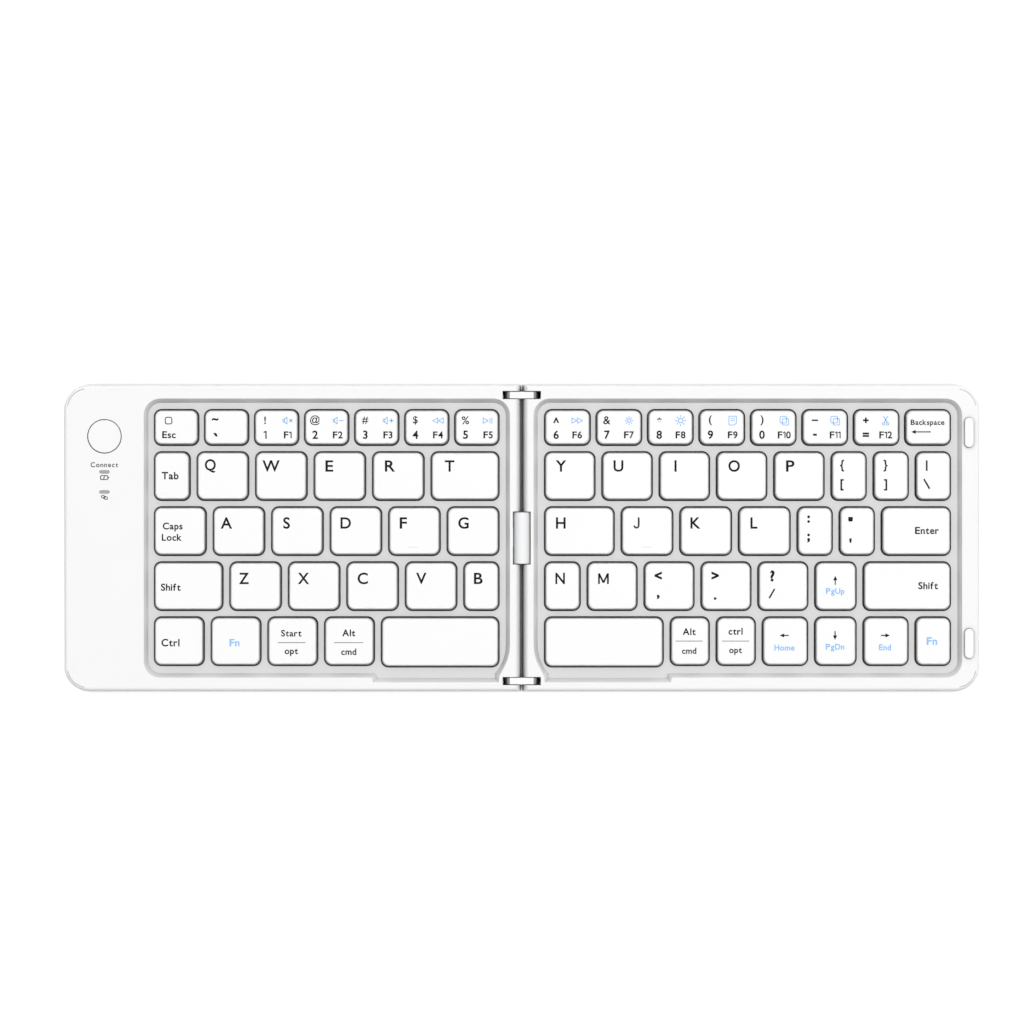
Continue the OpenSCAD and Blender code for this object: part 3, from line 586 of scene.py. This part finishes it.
GLYPH_CACHE = {}
GLYPH_GAP = 0.07          # between two letters, in text sizes
SPACE_WIDTH = 0.3
FINE_GLYPHS = "@%&#$"     # whose strokes lie too close together to be thickened much
THIN_MARKS = ":;'\"<>?,.-+=*~`–"  # marks printed heavier than letters
LARGE_TEXT = 3.0          # cap height from which strokes are thickened less
FINE_TEXT = 1.6           # cap height below which the letters would run together
LARGE, PLAIN, HEAVY, FINE = 0.018, 0.024, 0.042, 0.012  # thickening of the strokes, in text sizes


def weight_of(letter, height):
    if letter in FINE_GLYPHS or height < FINE_TEXT:
        return FINE
    if letter in THIN_MARKS:
        return HEAVY
    return LARGE if height > LARGE_TEXT else PLAIN


def glyph(letter, weight=PLAIN):
    """One letter as a flat mesh that starts at x = 0 and stands on y = 0, and its width."""
    key = (letter, weight)
    if key not in GLYPH_CACHE:
        curve = bpy.data.curves.new("letter", "FONT")
        curve.body = letter
        curve.resolution_u = 6
        curve.offset = weight
        piece = bpy.data.objects.new("letter", curve)
        bpy.context.scene.collection.objects.link(piece)
        bpy.context.view_layer.update()
        mesh = evaluated_mesh(piece)
        bpy.data.objects.remove(piece)
        xs = [v.co.x for v in mesh.vertices]
        mesh.transform(Matrix.Translation((-min(xs), 0, 0)))
        GLYPH_CACHE[key] = (mesh, max(xs) - min(xs))
    return GLYPH_CACHE[key]


CAP_HEIGHT = max(v.co.y for v in glyph("H")[0].vertices)


def letter_width(letter):
    if letter in STROKED_LETTERS:
        return STROKED_LETTERS[letter][0] * CAP_HEIGHT
    return SPACE_WIDTH if letter == " " else glyph(letter)[1] * WIDER.get(letter, 1.0)


def draw_text(marks, text, x, y, height, ink, gap=GLYPH_GAP):
    """Text centred on x, y with the given cap height."""
    size = height / CAP_HEIGHT
    width = sum(letter_width(c) for c in text) + gap * (len(text) - 1)
    drawn = [c for c in text if c != " " and c not in STROKED_LETTERS]
    ys = [v.co.y for c in drawn for v in glyph(c)[0].vertices] or [0, CAP_HEIGHT]
    left, foot = x - width / 2 * size, y - (min(ys) + max(ys)) / 2 * size
    for letter in text:
        if letter in STROKED_LETTERS:
            points = [(left + px * height, foot + py * height) for px, py in STROKED_LETTERS[letter][1]]
            draw_path(marks, points, STROKE * height, ink)
        elif letter != " ":
            mesh = glyph(letter, weight_of(letter, height))[0]
            spread = Matrix.Diagonal((size * WIDER.get(letter, 1.0) * MM, size * MM, 1, 1))
            marks.mesh(mesh, Matrix.Translation((left * MM, foot * MM, 0)) @ spread, ink)
        left += (letter_width(letter) + gap) * size


def draw_bar(marks, x0, y0, x1, y1, width, ink):
    """A straight stroke between two points."""
    run = Vector((x1 - x0, y1 - y0))
    side = Vector((-run.y, run.x)).normalized() * width / 2
    marks.face([(x0 - side.x, y0 - side.y), (x1 - side.x, y1 - side.y), (x1 + side.x, y1 + side.y),
                (x0 + side.x, y0 + side.y)], ink)


def draw_path(marks, points, width, ink, closed=False):
    ends = points[1:] + points[:1] if closed else points[1:]
    for a, b in zip(points, ends):
        draw_bar(marks, *a, *b, width, ink)


def arc_points(x, y, r, start=0, end=360, step=30):
    return [(x + r * math.cos(math.radians(a)), y + r * math.sin(math.radians(a)))
            for a in range(start, end + 1, step)]


# Letters that the built-in face draws badly at this size: width and the stroke's points, in cap heights
STROKE = 0.16
STROKED_LETTERS = {
    "1": (0.36, [(0.0, 0.78), (0.3, 0.94), (0.3, 0.0)]),
    "M": (0.92, [(0.06, 0.0), (0.06, 0.95), (0.46, 0.12), (0.86, 0.95), (0.86, 0.0)]),
    "|": (0.2, [(0.1, 0.0), (0.1, 1.0)]),
    "\\": (0.66, [(0.06, 0.97), (0.6, 0.03)]),
    "/": (0.66, [(0.06, 0.03), (0.6, 0.97)]),
    "J": (0.55, arc_points(0.265, 0.265, 0.2, 180, 360) + [(0.465, 1.0)]),
}
# Letters that are wider or narrower on the keys than in the built-in face
WIDER = {"P": 1.15, "F": 1.15, "R": 1.12, "E": 1.15, "B": 1.1,
         "Z": 0.92, "X": 0.92, "N": 0.9, "Q": 0.9, "O": 0.95}


def draw_arrow(marks, x, y, dx, dy, length, ink, width=0.36, head=1.45):
    """An arrow whose shaft is centred on x, y and points along dx, dy."""
    tip = (x + dx * length / 2, y + dy * length / 2)
    tail = (x - dx * length / 2, y - dy * length / 2)
    neck = (tip[0] - dx * head, tip[1] - dy * head)
    draw_bar(marks, *tail, *neck, width, ink)
    half = head * 0.45
    left = (neck[0] - dy * half, neck[1] + dx * half)
    right = (neck[0] + dy * half, neck[1] - dx * half)
    marks.face([left, right, tip], ink)


def draw_rounded_box(marks, x, y, w, h, r, width, ink):
    points = []
    for cx, cy, start in ((1, 1, 0), (-1, 1, 90), (-1, -1, 180), (1, -1, 270)):
        points += arc_points(x + cx * (w / 2 - r), y + cy * (h / 2 - r), r, start, start + 90)
    draw_path(marks, points, width, ink, closed=True)


def draw_speaker(marks, x, y, sign, ink):
    draw_path(marks, [(x - 1.5, y - 0.45), (x - 1.0, y - 0.45), (x - 0.2, y - 1.1), (x - 0.2, y + 1.1),
                      (x - 1.0, y + 0.45), (x - 1.5, y + 0.45)], LINE, ink, closed=True)
    draw_bar(marks, x - 1.0, y - 0.45, x - 1.0, y + 0.45, LINE, ink)
    if sign == "x":
        draw_bar(marks, x + 0.5, y - 0.5, x + 1.5, y + 0.5, WIDE_LINE, ink)
        draw_bar(marks, x + 0.5, y + 0.5, x + 1.5, y - 0.5, WIDE_LINE, ink)
    else:
        draw_bar(marks, x + 0.4, y, x + 1.8, y, BOLD_LINE, ink)
    if sign == "+":
        draw_bar(marks, x + 1.1, y - 0.7, x + 1.1, y + 0.7, BOLD_LINE, ink)


def draw_triangle(marks, x, y, turn, ink):
    draw_path(marks, [(x - 0.8 * turn, y - 0.85), (x - 0.8 * turn, y + 0.85), (x + 0.8 * turn, y)], LINE, ink,
              closed=True)


def draw_sun(marks, x, y, r, rays, ink):
    draw_path(marks, arc_points(x, y, r), BOLD_LINE, ink)
    for a in range(0, 360, 45):
        c, s = math.cos(math.radians(a)), math.sin(math.radians(a))
        draw_bar(marks, x + c * (r + 0.35), y + s * (r + 0.35), x + c * rays, y + s * rays, BOLD_LINE, ink)


def draw_page(marks, x, y, ink):
    draw_path(marks, [(x - 1.2, y - 1.4), (x + 0.5, y - 1.4), (x + 1.2, y - 0.7), (x + 1.2, y + 1.4),
                      (x - 1.2, y + 1.4)], LINE, ink, closed=True)
    for dy in (0.6, 0.0):
        draw_bar(marks, x - 0.7, y + dy, x + 0.7, y + dy, THIN_LINE, ink)


def draw_copy(marks, x, y, ink):
    draw_rounded_box(marks, x - 0.3, y + 0.3, 2.1, 2.1, 0.3, LINE, ink)
    draw_rounded_box(marks, x + 0.4, y - 0.4, 2.0, 2.0, 0.3, LINE, ink)


def draw_scissors(marks, x, y, ink):
    for side in (-1, 1):
        draw_bar(marks, x - side * 0.7, y + 1.5, x + side * 0.55, y - 0.7, WIDE_LINE, ink)
        draw_path(marks, arc_points(x + side * 0.65, y - 1.05, 0.42), LINE, ink)


def draw_icon(marks, name, x, y, ink):
    if name in ("mute", "quiet", "loud"):
        draw_speaker(marks, x, y, {"mute": "x", "quiet": "-", "loud": "+"}[name], ink)
    elif name in ("back", "skip"):
        turn = -1 if name == "back" else 1
        draw_triangle(marks, x - 0.9, y, turn, ink)
        draw_triangle(marks, x + 0.9, y, turn, ink)
    elif name == "play":
        draw_triangle(marks, x - 0.8, y, 1, ink)
        for dx in (0.6, 1.2):
            draw_bar(marks, x + dx, y - 0.9, x + dx, y + 0.9, 0.28, ink)
    elif name == "dim":
        draw_sun(marks, x, y, 0.6, 1.35, ink)
    elif name == "bright":
        draw_sun(marks, x, y, 0.75, 1.75, ink)
    elif name == "page":
        draw_page(marks, x, y, ink)
    elif name == "copy":
        draw_copy(marks, x, y, ink)
    elif name == "scissors":
        draw_scissors(marks, x, y, ink)
    elif name == "square":
        draw_rounded_box(marks, x, y, 2.1, 2.1, 0.5, WIDE_LINE, ink)


def text(words, x, y, height, ink=INK_BLACK):
    return ("text", words, x, y, height, ink)


def icon(name, x, y, ink=INK_BLUE):
    return ("icon", name, x, y, 0, ink)


def arrow(dx, dy, x, y, length):
    return ("arrow", (dx, dy), x, y, length, INK_BLACK)


def rule(x, y, width):
    return ("rule", width, x, y, 0.2, INK_GREY)


def number_marks(upper, lower, function, sign, x=3.0, far=10.2, upper_height=2.3):
    return [text(upper, x, 3.4, upper_height), text(lower, x, 8.0, 2.55),
            text(function, far, 8.05, 2.15), icon(sign, far, 3.5)]


def two_marks(upper, lower, x, y0, y1, height=3.0):
    return [text(upper, x, y0, height), text(lower, x, y1, height)]


# Letter keys: the letter's middle from the cap's left edge and from its rear edge
LETTER_X = {"q": 3.9, "w": 4.6, "e": 4.5, "r": 5.2, "t": 5.5, "y": 5.1, "u": 5.1, "i": 5.0, "o": 5.4,
            "p": 5.0, "a": 3.9, "s": 4.4, "d": 4.6, "f": 4.3, "g": 4.8, "h": 5.0, "j": 4.7, "k": 4.8,
            "l": 4.7, "z": 4.2, "x": 4.5, "c": 4.7, "v": 4.7, "b": 4.2, "n": 4.8, "m": 5.0}
UPPER_ROW, HOME_ROW, LOWER_ROW = "qwertyuiop", "asdfghjkl", "zxcvbnm"
LETTER_Y = {**{c: 4.5 for c in UPPER_ROW}, **{c: 5.1 for c in HOME_ROW}, **{c: 5.2 for c in LOWER_ROW}}
LETTER_HEIGHT = 3.55
HOME_BARS = ("f", "j")

LEGENDS = {
    "left_number_keys": [
        [icon("square", 4.2, 3.5, INK_BLACK), text("Esc", 4.3, 8.0, 2.15)],
        [text("~", 3.0, 3.1, 2.4), text("`", 3.0, 8.0, 3.4)],
        number_marks("!", "1", "F1", "mute"), number_marks("@", "2", "F2", "quiet"),
        number_marks("#", "3", "F3", "loud"), number_marks("$", "4", "F4", "back"),
        number_marks("%", "5", "F5", "play", upper_height=2.5)],
    "left_modifier_keys": [
        [text("Tab", 4.7, 7.6, 2.3)],
        [text("Caps", 5.5, 6.4, 2.1), text("Lock", 5.2, 9.7, 2.1)],
        [text("Shift", 4.9, 8.0, 2.2)],
        [text("Ctrl", 4.8, 8.1, 2.3)],
        [text("Fn", 7.1, 8.1, 2.3, INK_BLUE)],
        [text("Start", 7.1, 5.1, 2.0), rule(7.2, 8.1, 8.8), text("opt", 7.1, 11.2, 2.0)],
        [text("Alt", 7.3, 5.0, 2.1), rule(7.3, 8.1, 9.2), text("cmd", 7.3, 11.0, 2.0)]],
    "right_number_keys": [
        number_marks("^", "6", "F6", "skip", 3.5, 10.2, 2.8),
        number_marks("&", "7", "F7", "dim", 3.3, 10.3, 2.6),
        number_marks("*", "8", "F8", "bright", 3.5, 10.3),
        number_marks("(", "9", "F9", "page", 3.4, 10.5),
        number_marks(")", "0", "F10", "copy", 3.4, 10.5),
        number_marks("–", "-", "F11", "copy", 3.8, 10.3),
        number_marks("+", "=", "F12", "scissors", 3.6, 10.0),
        [text("Backspace", 6.9, 4.3, 1.65), arrow(-1, 0, 4.8, 7.1, 6.2)]],
    "right_punctuation_keys": [
        two_marks("{", "[", 3.2, 4.4, 10.5, 2.7), two_marks("}", "]", 3.6, 4.4, 10.5, 2.7),
        two_marks("|", "\\", 3.3, 4.4, 10.2, 3.3),
        two_marks(":", ";", 3.3, 3.9, 9.9), two_marks("\"", "'", 3.2, 3.9, 10.7),
        two_marks("<", ",", 4.2, 4.3, 11.1), two_marks(">", ".", 4.2, 4.3, 11.6),
        two_marks("?", "/", 4.2, 4.4, 10.0, 3.2)],
    "right_modifier_keys": [
        [text("Enter", 14.2, 7.5, 2.2)],
        [arrow(0, 1, 6.2, 5.8, 2.9), text("PgUp", 6.2, 9.5, 1.8, INK_BLUE)],
        [text("Shift", 20.4, 7.5, 2.2)],
        [text("Alt", 5.8, 4.6, 2.1), rule(5.8, 7.6, 8.6), text("cmd", 5.8, 10.7, 1.9)],
        [text("ctrl", 5.9, 4.5, 2.1), rule(5.9, 7.6, 8.6), text("opt", 5.9, 10.9, 1.9)],
        [arrow(-1, 0, 6.7, 5.8, 2.9), text("Home", 6.8, 9.7, 1.8, INK_BLUE)],
        [arrow(0, -1, 6.2, 5.8, 2.9), text("PgDn", 6.2, 9.7, 1.8, INK_BLUE)],
        [arrow(1, 0, 6.8, 5.8, 2.9), text("End", 6.65, 9.6, 1.8, INK_BLUE)],
        [text("Fn", 5.0, 7.6, 2.4, INK_BLUE)]],
}
for letter, middle in LETTER_X.items():
    LEGENDS["key_" + letter] = [[text(letter.upper(), middle, LETTER_Y[letter], LETTER_HEIGHT)]]

LEFT_NUDGE = 0.3          # how far to the right the left half's legends are moved
REAR_NUDGE = 0.15         # how far to the rear all legends are moved


def draw_mark(marks, mark, left, rear):
    kind, what, x, y, size, ink = mark
    x, y = left + x, rear - y
    if kind == "text":
        draw_text(marks, what, x, y, size, ink)
    elif kind == "icon":
        draw_icon(marks, what, x, y, ink)
    elif kind == "arrow":
        draw_arrow(marks, x, y, *what, size, ink)
    elif kind == "rule":
        draw_bar(marks, x - what / 2, y, x + what / 2, y, size, ink)


def make_keys(node):
    """All the caps of a node as one piece, and their legends as another."""
    boxes = caps_of(node)
    caps = join_meshes(node + "_caps", [mould_keycap(low, high) for low, high in boxes])
    put(node + "_caps", caps, [KEY_WHITE], BODY_OF[node], [node])
    marks = Marks()
    for (low, high), wanted in zip(boxes, LEGENDS.get(node, [])):
        for mark in wanted:
            nudge = LEFT_NUDGE if high.x < 0 else 0
            draw_mark(marks, mark, low.x / MM + nudge, high.y / MM + REAR_NUDGE)
    if len(marks.work.verts):
        marks.lift(KEY_TOP_Z + PRINT_LIFT)
        legend = bpy.data.meshes.new(node + "_legend")
        marks.work.to_mesh(legend)
        put(node + "_legend", legend, INKS, BODY_OF[node])
    marks.work.free()


def make_levers(side):
    """The crossed levers under the caps, parted by press joint; each part rides on its half."""
    frames = side + "_scissor_frames"
    work = merged_copy(frames)
    whole = bpy.data.meshes.new(frames)
    work.to_mesh(whole)
    work.free()
    hidden = [frames]
    for node in KEY_NODES:
        boxes = caps_of(node)
        if (boxes[0][0].x < 0) != (side == "left"):
            continue
        work = bmesh.new()
        work.from_mesh(whole)
        outside = [v for v in work.verts
                   if not any(a.x < v.co.x < b.x and a.y < v.co.y < b.y for a, b in boxes)]
        bmesh.ops.delete(work, geom=outside, context="VERTS")
        mesh = bpy.data.meshes.new(node + "_levers")
        work.to_mesh(mesh)
        work.free()
        piece = put(node + "_levers", mesh, [SCISSOR_PLASTIC], side + "_half", hidden)
        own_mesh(piece)
        hidden = []


def make_home_bar(letter):
    """The small raised bar that a finger finds on F and J."""
    low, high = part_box("key_" + letter)
    middle = ((low.x + high.x) / 2, high.y - HOME_BAR_IN * MM, high.z)
    size = (*(length * MM for length in HOME_BAR_SIZE), 1)
    work = bmesh.new()
    bmesh.ops.create_cube(work, size=1.0, matrix=Matrix.Translation(middle) @ Matrix.Diagonal(size))
    bmesh.ops.bevel(work, geom=work.edges[:], offset=HOME_BAR_EDGE * MM, segments=3, affect="EDGES",
                    profile=0.5)
    mesh = bpy.data.meshes.new("home_bar_" + letter)
    work.to_mesh(mesh)
    work.free()
    smooth_sides(mesh, angle=60)
    put("home_bar_" + letter, mesh, [BUTTON_WHITE], "key_" + letter)


# ---- Deck marks: the words and signs in the left margin, and the painted shade line inside each corner ----
MARGIN_X = -132.9         # the middle of the button, which the words and signs stand below
CONNECT_Y, BATTERY_Y, CHAIN_Y = 23.35, 19.25, 12.95
CONNECT_HEIGHT = 1.55
CONNECT_GAP = 0.12        # between its letters, in text sizes
LENS_DOTS = (-0.95, -0.32, 0.32, 0.95)
CORNER_R = 7.5            # how far in from both edges a corner line's middle lies
CORNER_LINE_IN = 1.25     # how far in from the edges the line itself lies
CORNER_LINE_WIDTH = 0.2


def draw_battery(marks, x, y, ink):
    draw_rounded_box(marks, x - 0.1, y, 2.3, 1.25, 0.25, LINE, ink)
    draw_bar(marks, x + 1.3, y - 0.25, x + 1.3, y + 0.25, WIDE_LINE, ink)
    draw_path(marks, [(x + 0.15, y + 0.4), (x - 0.3, y), (x + 0.05, y), (x - 0.35, y - 0.4)], 0.2, ink)


def draw_chain(marks, x, y, ink):
    """Two linked loops that lean to the right."""
    cos, sin = 0.94, 0.34     # of a lean of about 20 degrees
    loop = arc_points(0.2, 0, 0.42, -90, 90) + arc_points(-0.2, 0, 0.42, 90, 270)
    for side in (-1, 1):
        mx = x + side * 0.38
        my = y - side * 0.18
        turned = [(mx + cos * px + sin * py, my - sin * px + cos * py) for px, py in loop]
        draw_path(marks, turned, THIN_LINE, ink, closed=True)


def draw_lens_dots(marks, x, y, ink):
    """The lighter dots behind an indicator lens."""
    for dx in LENS_DOTS:
        marks.face(arc_points(x + dx, y, 0.2, 0, 300), ink)


def draw_corner_shade_line(marks, case_x, case_y, ink):
    """A painted shade line: the quarter line where the deck starts to roll down at a corner."""
    sx, sy = math.copysign(1, case_x), math.copysign(1, case_y)
    r = CORNER_R - CORNER_LINE_IN
    points = [(case_x - sx * CORNER_R + sx * px, case_y - sy * CORNER_R + sy * py)
              for px, py in arc_points(0, 0, r, 9, 81, 6)]
    draw_path(marks, points, CORNER_LINE_WIDTH, ink)


def finish_marks(marks, name, body, z=DECK_Z):
    marks.lift(z + PRINT_LIFT)
    mesh = bpy.data.meshes.new(name)
    marks.work.to_mesh(mesh)
    marks.work.free()
    put(name, mesh, INKS, body)


def make_deck_marks():
    marks = Marks()
    draw_text(marks, "Connect", MARGIN_X, CONNECT_Y, CONNECT_HEIGHT, INK_BLACK, gap=CONNECT_GAP)
    draw_battery(marks, MARGIN_X, BATTERY_Y, INK_BLACK)
    draw_chain(marks, MARGIN_X, CHAIN_Y, INK_BLACK)
    for side, body in ((-1, "left_half"), (1, "right_half")):
        for end in (-1, 1):
            draw_corner_shade_line(marks, side * CASE_X, end * CASE_Y, PAINTED_SHADE_LINE)
        finish_marks(marks, "deck_marks_" + body, body)
        marks = Marks()
    low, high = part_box("indicator_lenses")
    for y in (high.y / MM - LENS_HALF, low.y / MM + LENS_HALF):
        draw_lens_dots(marks, (low.x + high.x) / 2 / MM, y, INK_PALE)
    finish_marks(marks, "lens_dots", "left_half", high.z / MM)


# ---- Flat cable: parted under the barrel, so that each length stays in its own half ----


def make_cable():
    low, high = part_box("flex_cable")
    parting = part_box("cable_barrel")[1].x * CABLE_PARTING
    for name, body, x0, x1, hidden in (("flex_cable_left", "left_half", low.x, parting, ["flex_cable"]),
                                       ("flex_cable_right", "right_half", parting, high.x, [])):
        work = bmesh.new()
        middle = Vector(((x0 + x1) / 2, (low.y + high.y) / 2, (low.z + high.z) / 2))
        size = (x1 - x0, high.y - low.y, high.z - low.z, 1)
        bmesh.ops.create_cube(work, size=1.0, matrix=Matrix.Translation(middle) @ Matrix.Diagonal(size))
        ends = [e for e in work.edges if abs(e.verts[0].co.z - e.verts[1].co.z) > 0.1 * MM]
        bmesh.ops.bevel(work, geom=ends, offset=CABLE_CORNER * MM, segments=4, affect="EDGES", profile=0.5)
        mesh = bpy.data.meshes.new(name)
        work.to_mesh(mesh)
        work.free()
        smooth_sides(mesh, angle=40)
        put(name, mesh, [FLEX_FILM], body, hidden)


# ---- Studio ----
FLOOR_PAINTED_SHADOW_REACH = 2.0   # how near the object has to be for the floor's glow to take painted shadow
FLOOR_PAINTED_SHADOW_START = 0.35  # the openness at which that painted shadow is black
# What glossy surfaces see of the sky: kind of ramp, from and to which height, and its least and most
SKY_BANDS = (("SMOOTHSTEP", 0.9, 0.985, 0.0, 0.75), ("LINEAR", -0.2, 0.7, 0.06, 0.3))


def make_floor():
    """A floor that is white from above and clear from below; its glow is darkened near the object as a
    painted shadow, and its dull part keeps the object's real soft shadow.
    """
    mesh = bpy.data.meshes.new("floor")
    reach = 6.0
    mesh.from_pydata([(-reach, -reach, 0), (reach, -reach, 0), (reach, reach, 0), (-reach, reach, 0)], [],
                     [(0, 1, 2, 3)])
    floor = bpy.data.objects.new("floor", mesh)
    bpy.context.scene.collection.objects.link(floor)
    material, tree, shader = start_material("floor")
    tree.nodes.remove(shader)
    output = tree.nodes["Material Output"]
    path = tree.nodes.new("ShaderNodeLightPath")
    seen = node_in(tree, "ShaderNodeMath", operation="MAXIMUM")
    tree.links.new(path.outputs["Is Camera Ray"], seen.inputs[0])
    tree.links.new(path.outputs["Is Glossy Ray"], seen.inputs[1])
    # Painted shadow: the glow darkens where the object closes in on the floor, black in the seam's gap.
    open_sky = node_in(tree, "ShaderNodeAmbientOcclusion", samples=8, Distance=FLOOR_PAINTED_SHADOW_REACH * MM)
    shade = node_in(tree, "ShaderNodeMapRange")
    shade.inputs["From Min"].default_value = FLOOR_PAINTED_SHADOW_START
    tree.links.new(open_sky.outputs["AO"], shade.inputs["Value"])
    glow = node_in(tree, "ShaderNodeEmission", Color=(1, 1, 1, 1))
    tree.links.new(shade.outputs[0], glow.inputs["Strength"])
    dull = node_in(tree, "ShaderNodeBsdfDiffuse", Color=(0.08, 0.08, 0.08, 1))
    shown = tree.nodes.new("ShaderNodeAddShader")
    tree.links.new(glow.outputs[0], shown.inputs[0])
    tree.links.new(dull.outputs[0], shown.inputs[1])
    bounce = node_in(tree, "ShaderNodeBsdfDiffuse", Color=(0.75, 0.75, 0.75, 1))
    pick = tree.nodes.new("ShaderNodeMixShader")
    tree.links.new(seen.outputs[0], pick.inputs[0])
    tree.links.new(bounce.outputs[0], pick.inputs[1])
    tree.links.new(shown.outputs[0], pick.inputs[2])
    facing = tree.nodes.new("ShaderNodeNewGeometry")
    unseen = node_in(tree, "ShaderNodeMath", operation="MAXIMUM")
    tree.links.new(facing.outputs["Backfacing"], unseen.inputs[0])
    tree.links.new(path.outputs["Is Shadow Ray"], unseen.inputs[1])
    clear = tree.nodes.new("ShaderNodeBsdfTransparent")
    one_sided = tree.nodes.new("ShaderNodeMixShader")
    tree.links.new(unseen.outputs[0], one_sided.inputs[0])
    tree.links.new(pick.outputs[0], one_sided.inputs[1])
    tree.links.new(clear.outputs[0], one_sided.inputs[2])
    tree.links.new(one_sided.outputs[0], output.inputs["Surface"])
    mesh.materials.append(material)


def make_world():
    world = bpy.data.worlds.new("studio")
    bpy.context.scene.world = world
    world.use_nodes = True
    tree = world.node_tree
    path = tree.nodes.new("ShaderNodeLightPath")
    fill = tree.nodes["Background"]
    fill.inputs["Color"].default_value = (0.98, 0.98, 1.0, 1)
    fill.inputs["Strength"].default_value = 0.13
    backdrop = node_in(tree, "ShaderNodeBackground", Color=(1, 1, 1, 1), Strength=1.0)
    place = tree.nodes.new("ShaderNodeTexCoord")
    height = tree.nodes.new("ShaderNodeSeparateXYZ")
    tree.links.new(place.outputs["Generated"], height.inputs[0])
    gloss = node_in(tree, "ShaderNodeBackground", Color=(1, 1, 1, 1))
    overhead = node_in(tree, "ShaderNodeMath", operation="ADD")
    for place_in_sum, (kind, low, high, least, most) in enumerate(SKY_BANDS):
        band = node_in(tree, "ShaderNodeMapRange", interpolation_type=kind)
        band.inputs["From Min"].default_value = low
        band.inputs["From Max"].default_value = high
        band.inputs["To Min"].default_value = least
        band.inputs["To Max"].default_value = most
        tree.links.new(height.outputs["Z"], band.inputs["Value"])
        tree.links.new(band.outputs["Result"], overhead.inputs[place_in_sum])
    tree.links.new(overhead.outputs[0], gloss.inputs["Strength"])
    first = tree.nodes.new("ShaderNodeMixShader")
    tree.links.new(path.outputs["Is Glossy Ray"], first.inputs[0])
    tree.links.new(fill.outputs[0], first.inputs[1])
    tree.links.new(gloss.outputs[0], first.inputs[2])
    pick = tree.nodes.new("ShaderNodeMixShader")
    tree.links.new(path.outputs["Is Camera Ray"], pick.inputs[0])
    tree.links.new(first.outputs[0], pick.inputs[1])
    tree.links.new(backdrop.outputs[0], pick.inputs[2])
    tree.links.new(pick.outputs[0], tree.nodes["World Output"].inputs["Surface"])


def make_lamp(name, place, size, power):
    data = bpy.data.lights.new(name, "AREA")
    data.shape = "DISK"
    data.size = size
    data.energy = power
    lamp = bpy.data.objects.new(name, data)
    lamp.location = place
    lamp.rotation_mode = "QUATERNION"
    lamp.rotation_quaternion = (-Vector(place)).to_track_quat("-Z", "Y")
    lamp.visible_glossy = False
    bpy.context.scene.collection.objects.link(lamp)


make_camera()
make_floor()
make_world()
make_lamp("key_lamp", place=(0.5, 1.0, 4.0), size=1.42, power=177.0)
make_lamp("under_lamp", place=(0.3, -0.8, -3.0), size=1.4, power=48.0)

for side in ("left", "right"):
    dress(side + "_top_frame", CASE_WHITE, edge=0.12)
    dress(side + "_bottom_cover", COVER_WHITE, edge=0.15)
    dress(side + "_key_plate", PLATE_GREY, edge=0.08)
    finish_node(side + "_base_plate", STEEL_SHEET)
    finish_node(side + "_dome_sheet", DOME_RUBBER)
    make_levers(side)
    finish_node(side + "_magnets", MAGNET_METAL)
    dress(side + "_screws", PIN_STEEL, edge=0.06)
dress("left_feet", FOOT_RUBBER, edge=0.25)
dress("right_rubber_pads", PAD_RUBBER, edge=0.38)
dress("hinge_links", LINK_METAL, edge=0.12)
dress("hinge_pins", PIN_STEEL, edge=0.1)
dress("cable_barrel", BARREL_PLASTIC, edge=0.15)
dress("connect_button", BUTTON_WHITE, edge=0.25)
dress("charging_port", PORT_SHELL, edge=0.05)
dress("indicator_lenses", LENS_GREY, edge=0.08)
finish_node("main_circuit_board", BOARD_GREEN)
finish_node("battery", CELL_FOIL)
make_cable()

for node in KEY_NODES:
    make_keys(node)
for letter in HOME_BARS:
    make_home_bar(letter)
make_deck_marks()

bpy.context.scene.view_settings.view_transform = "Standard"
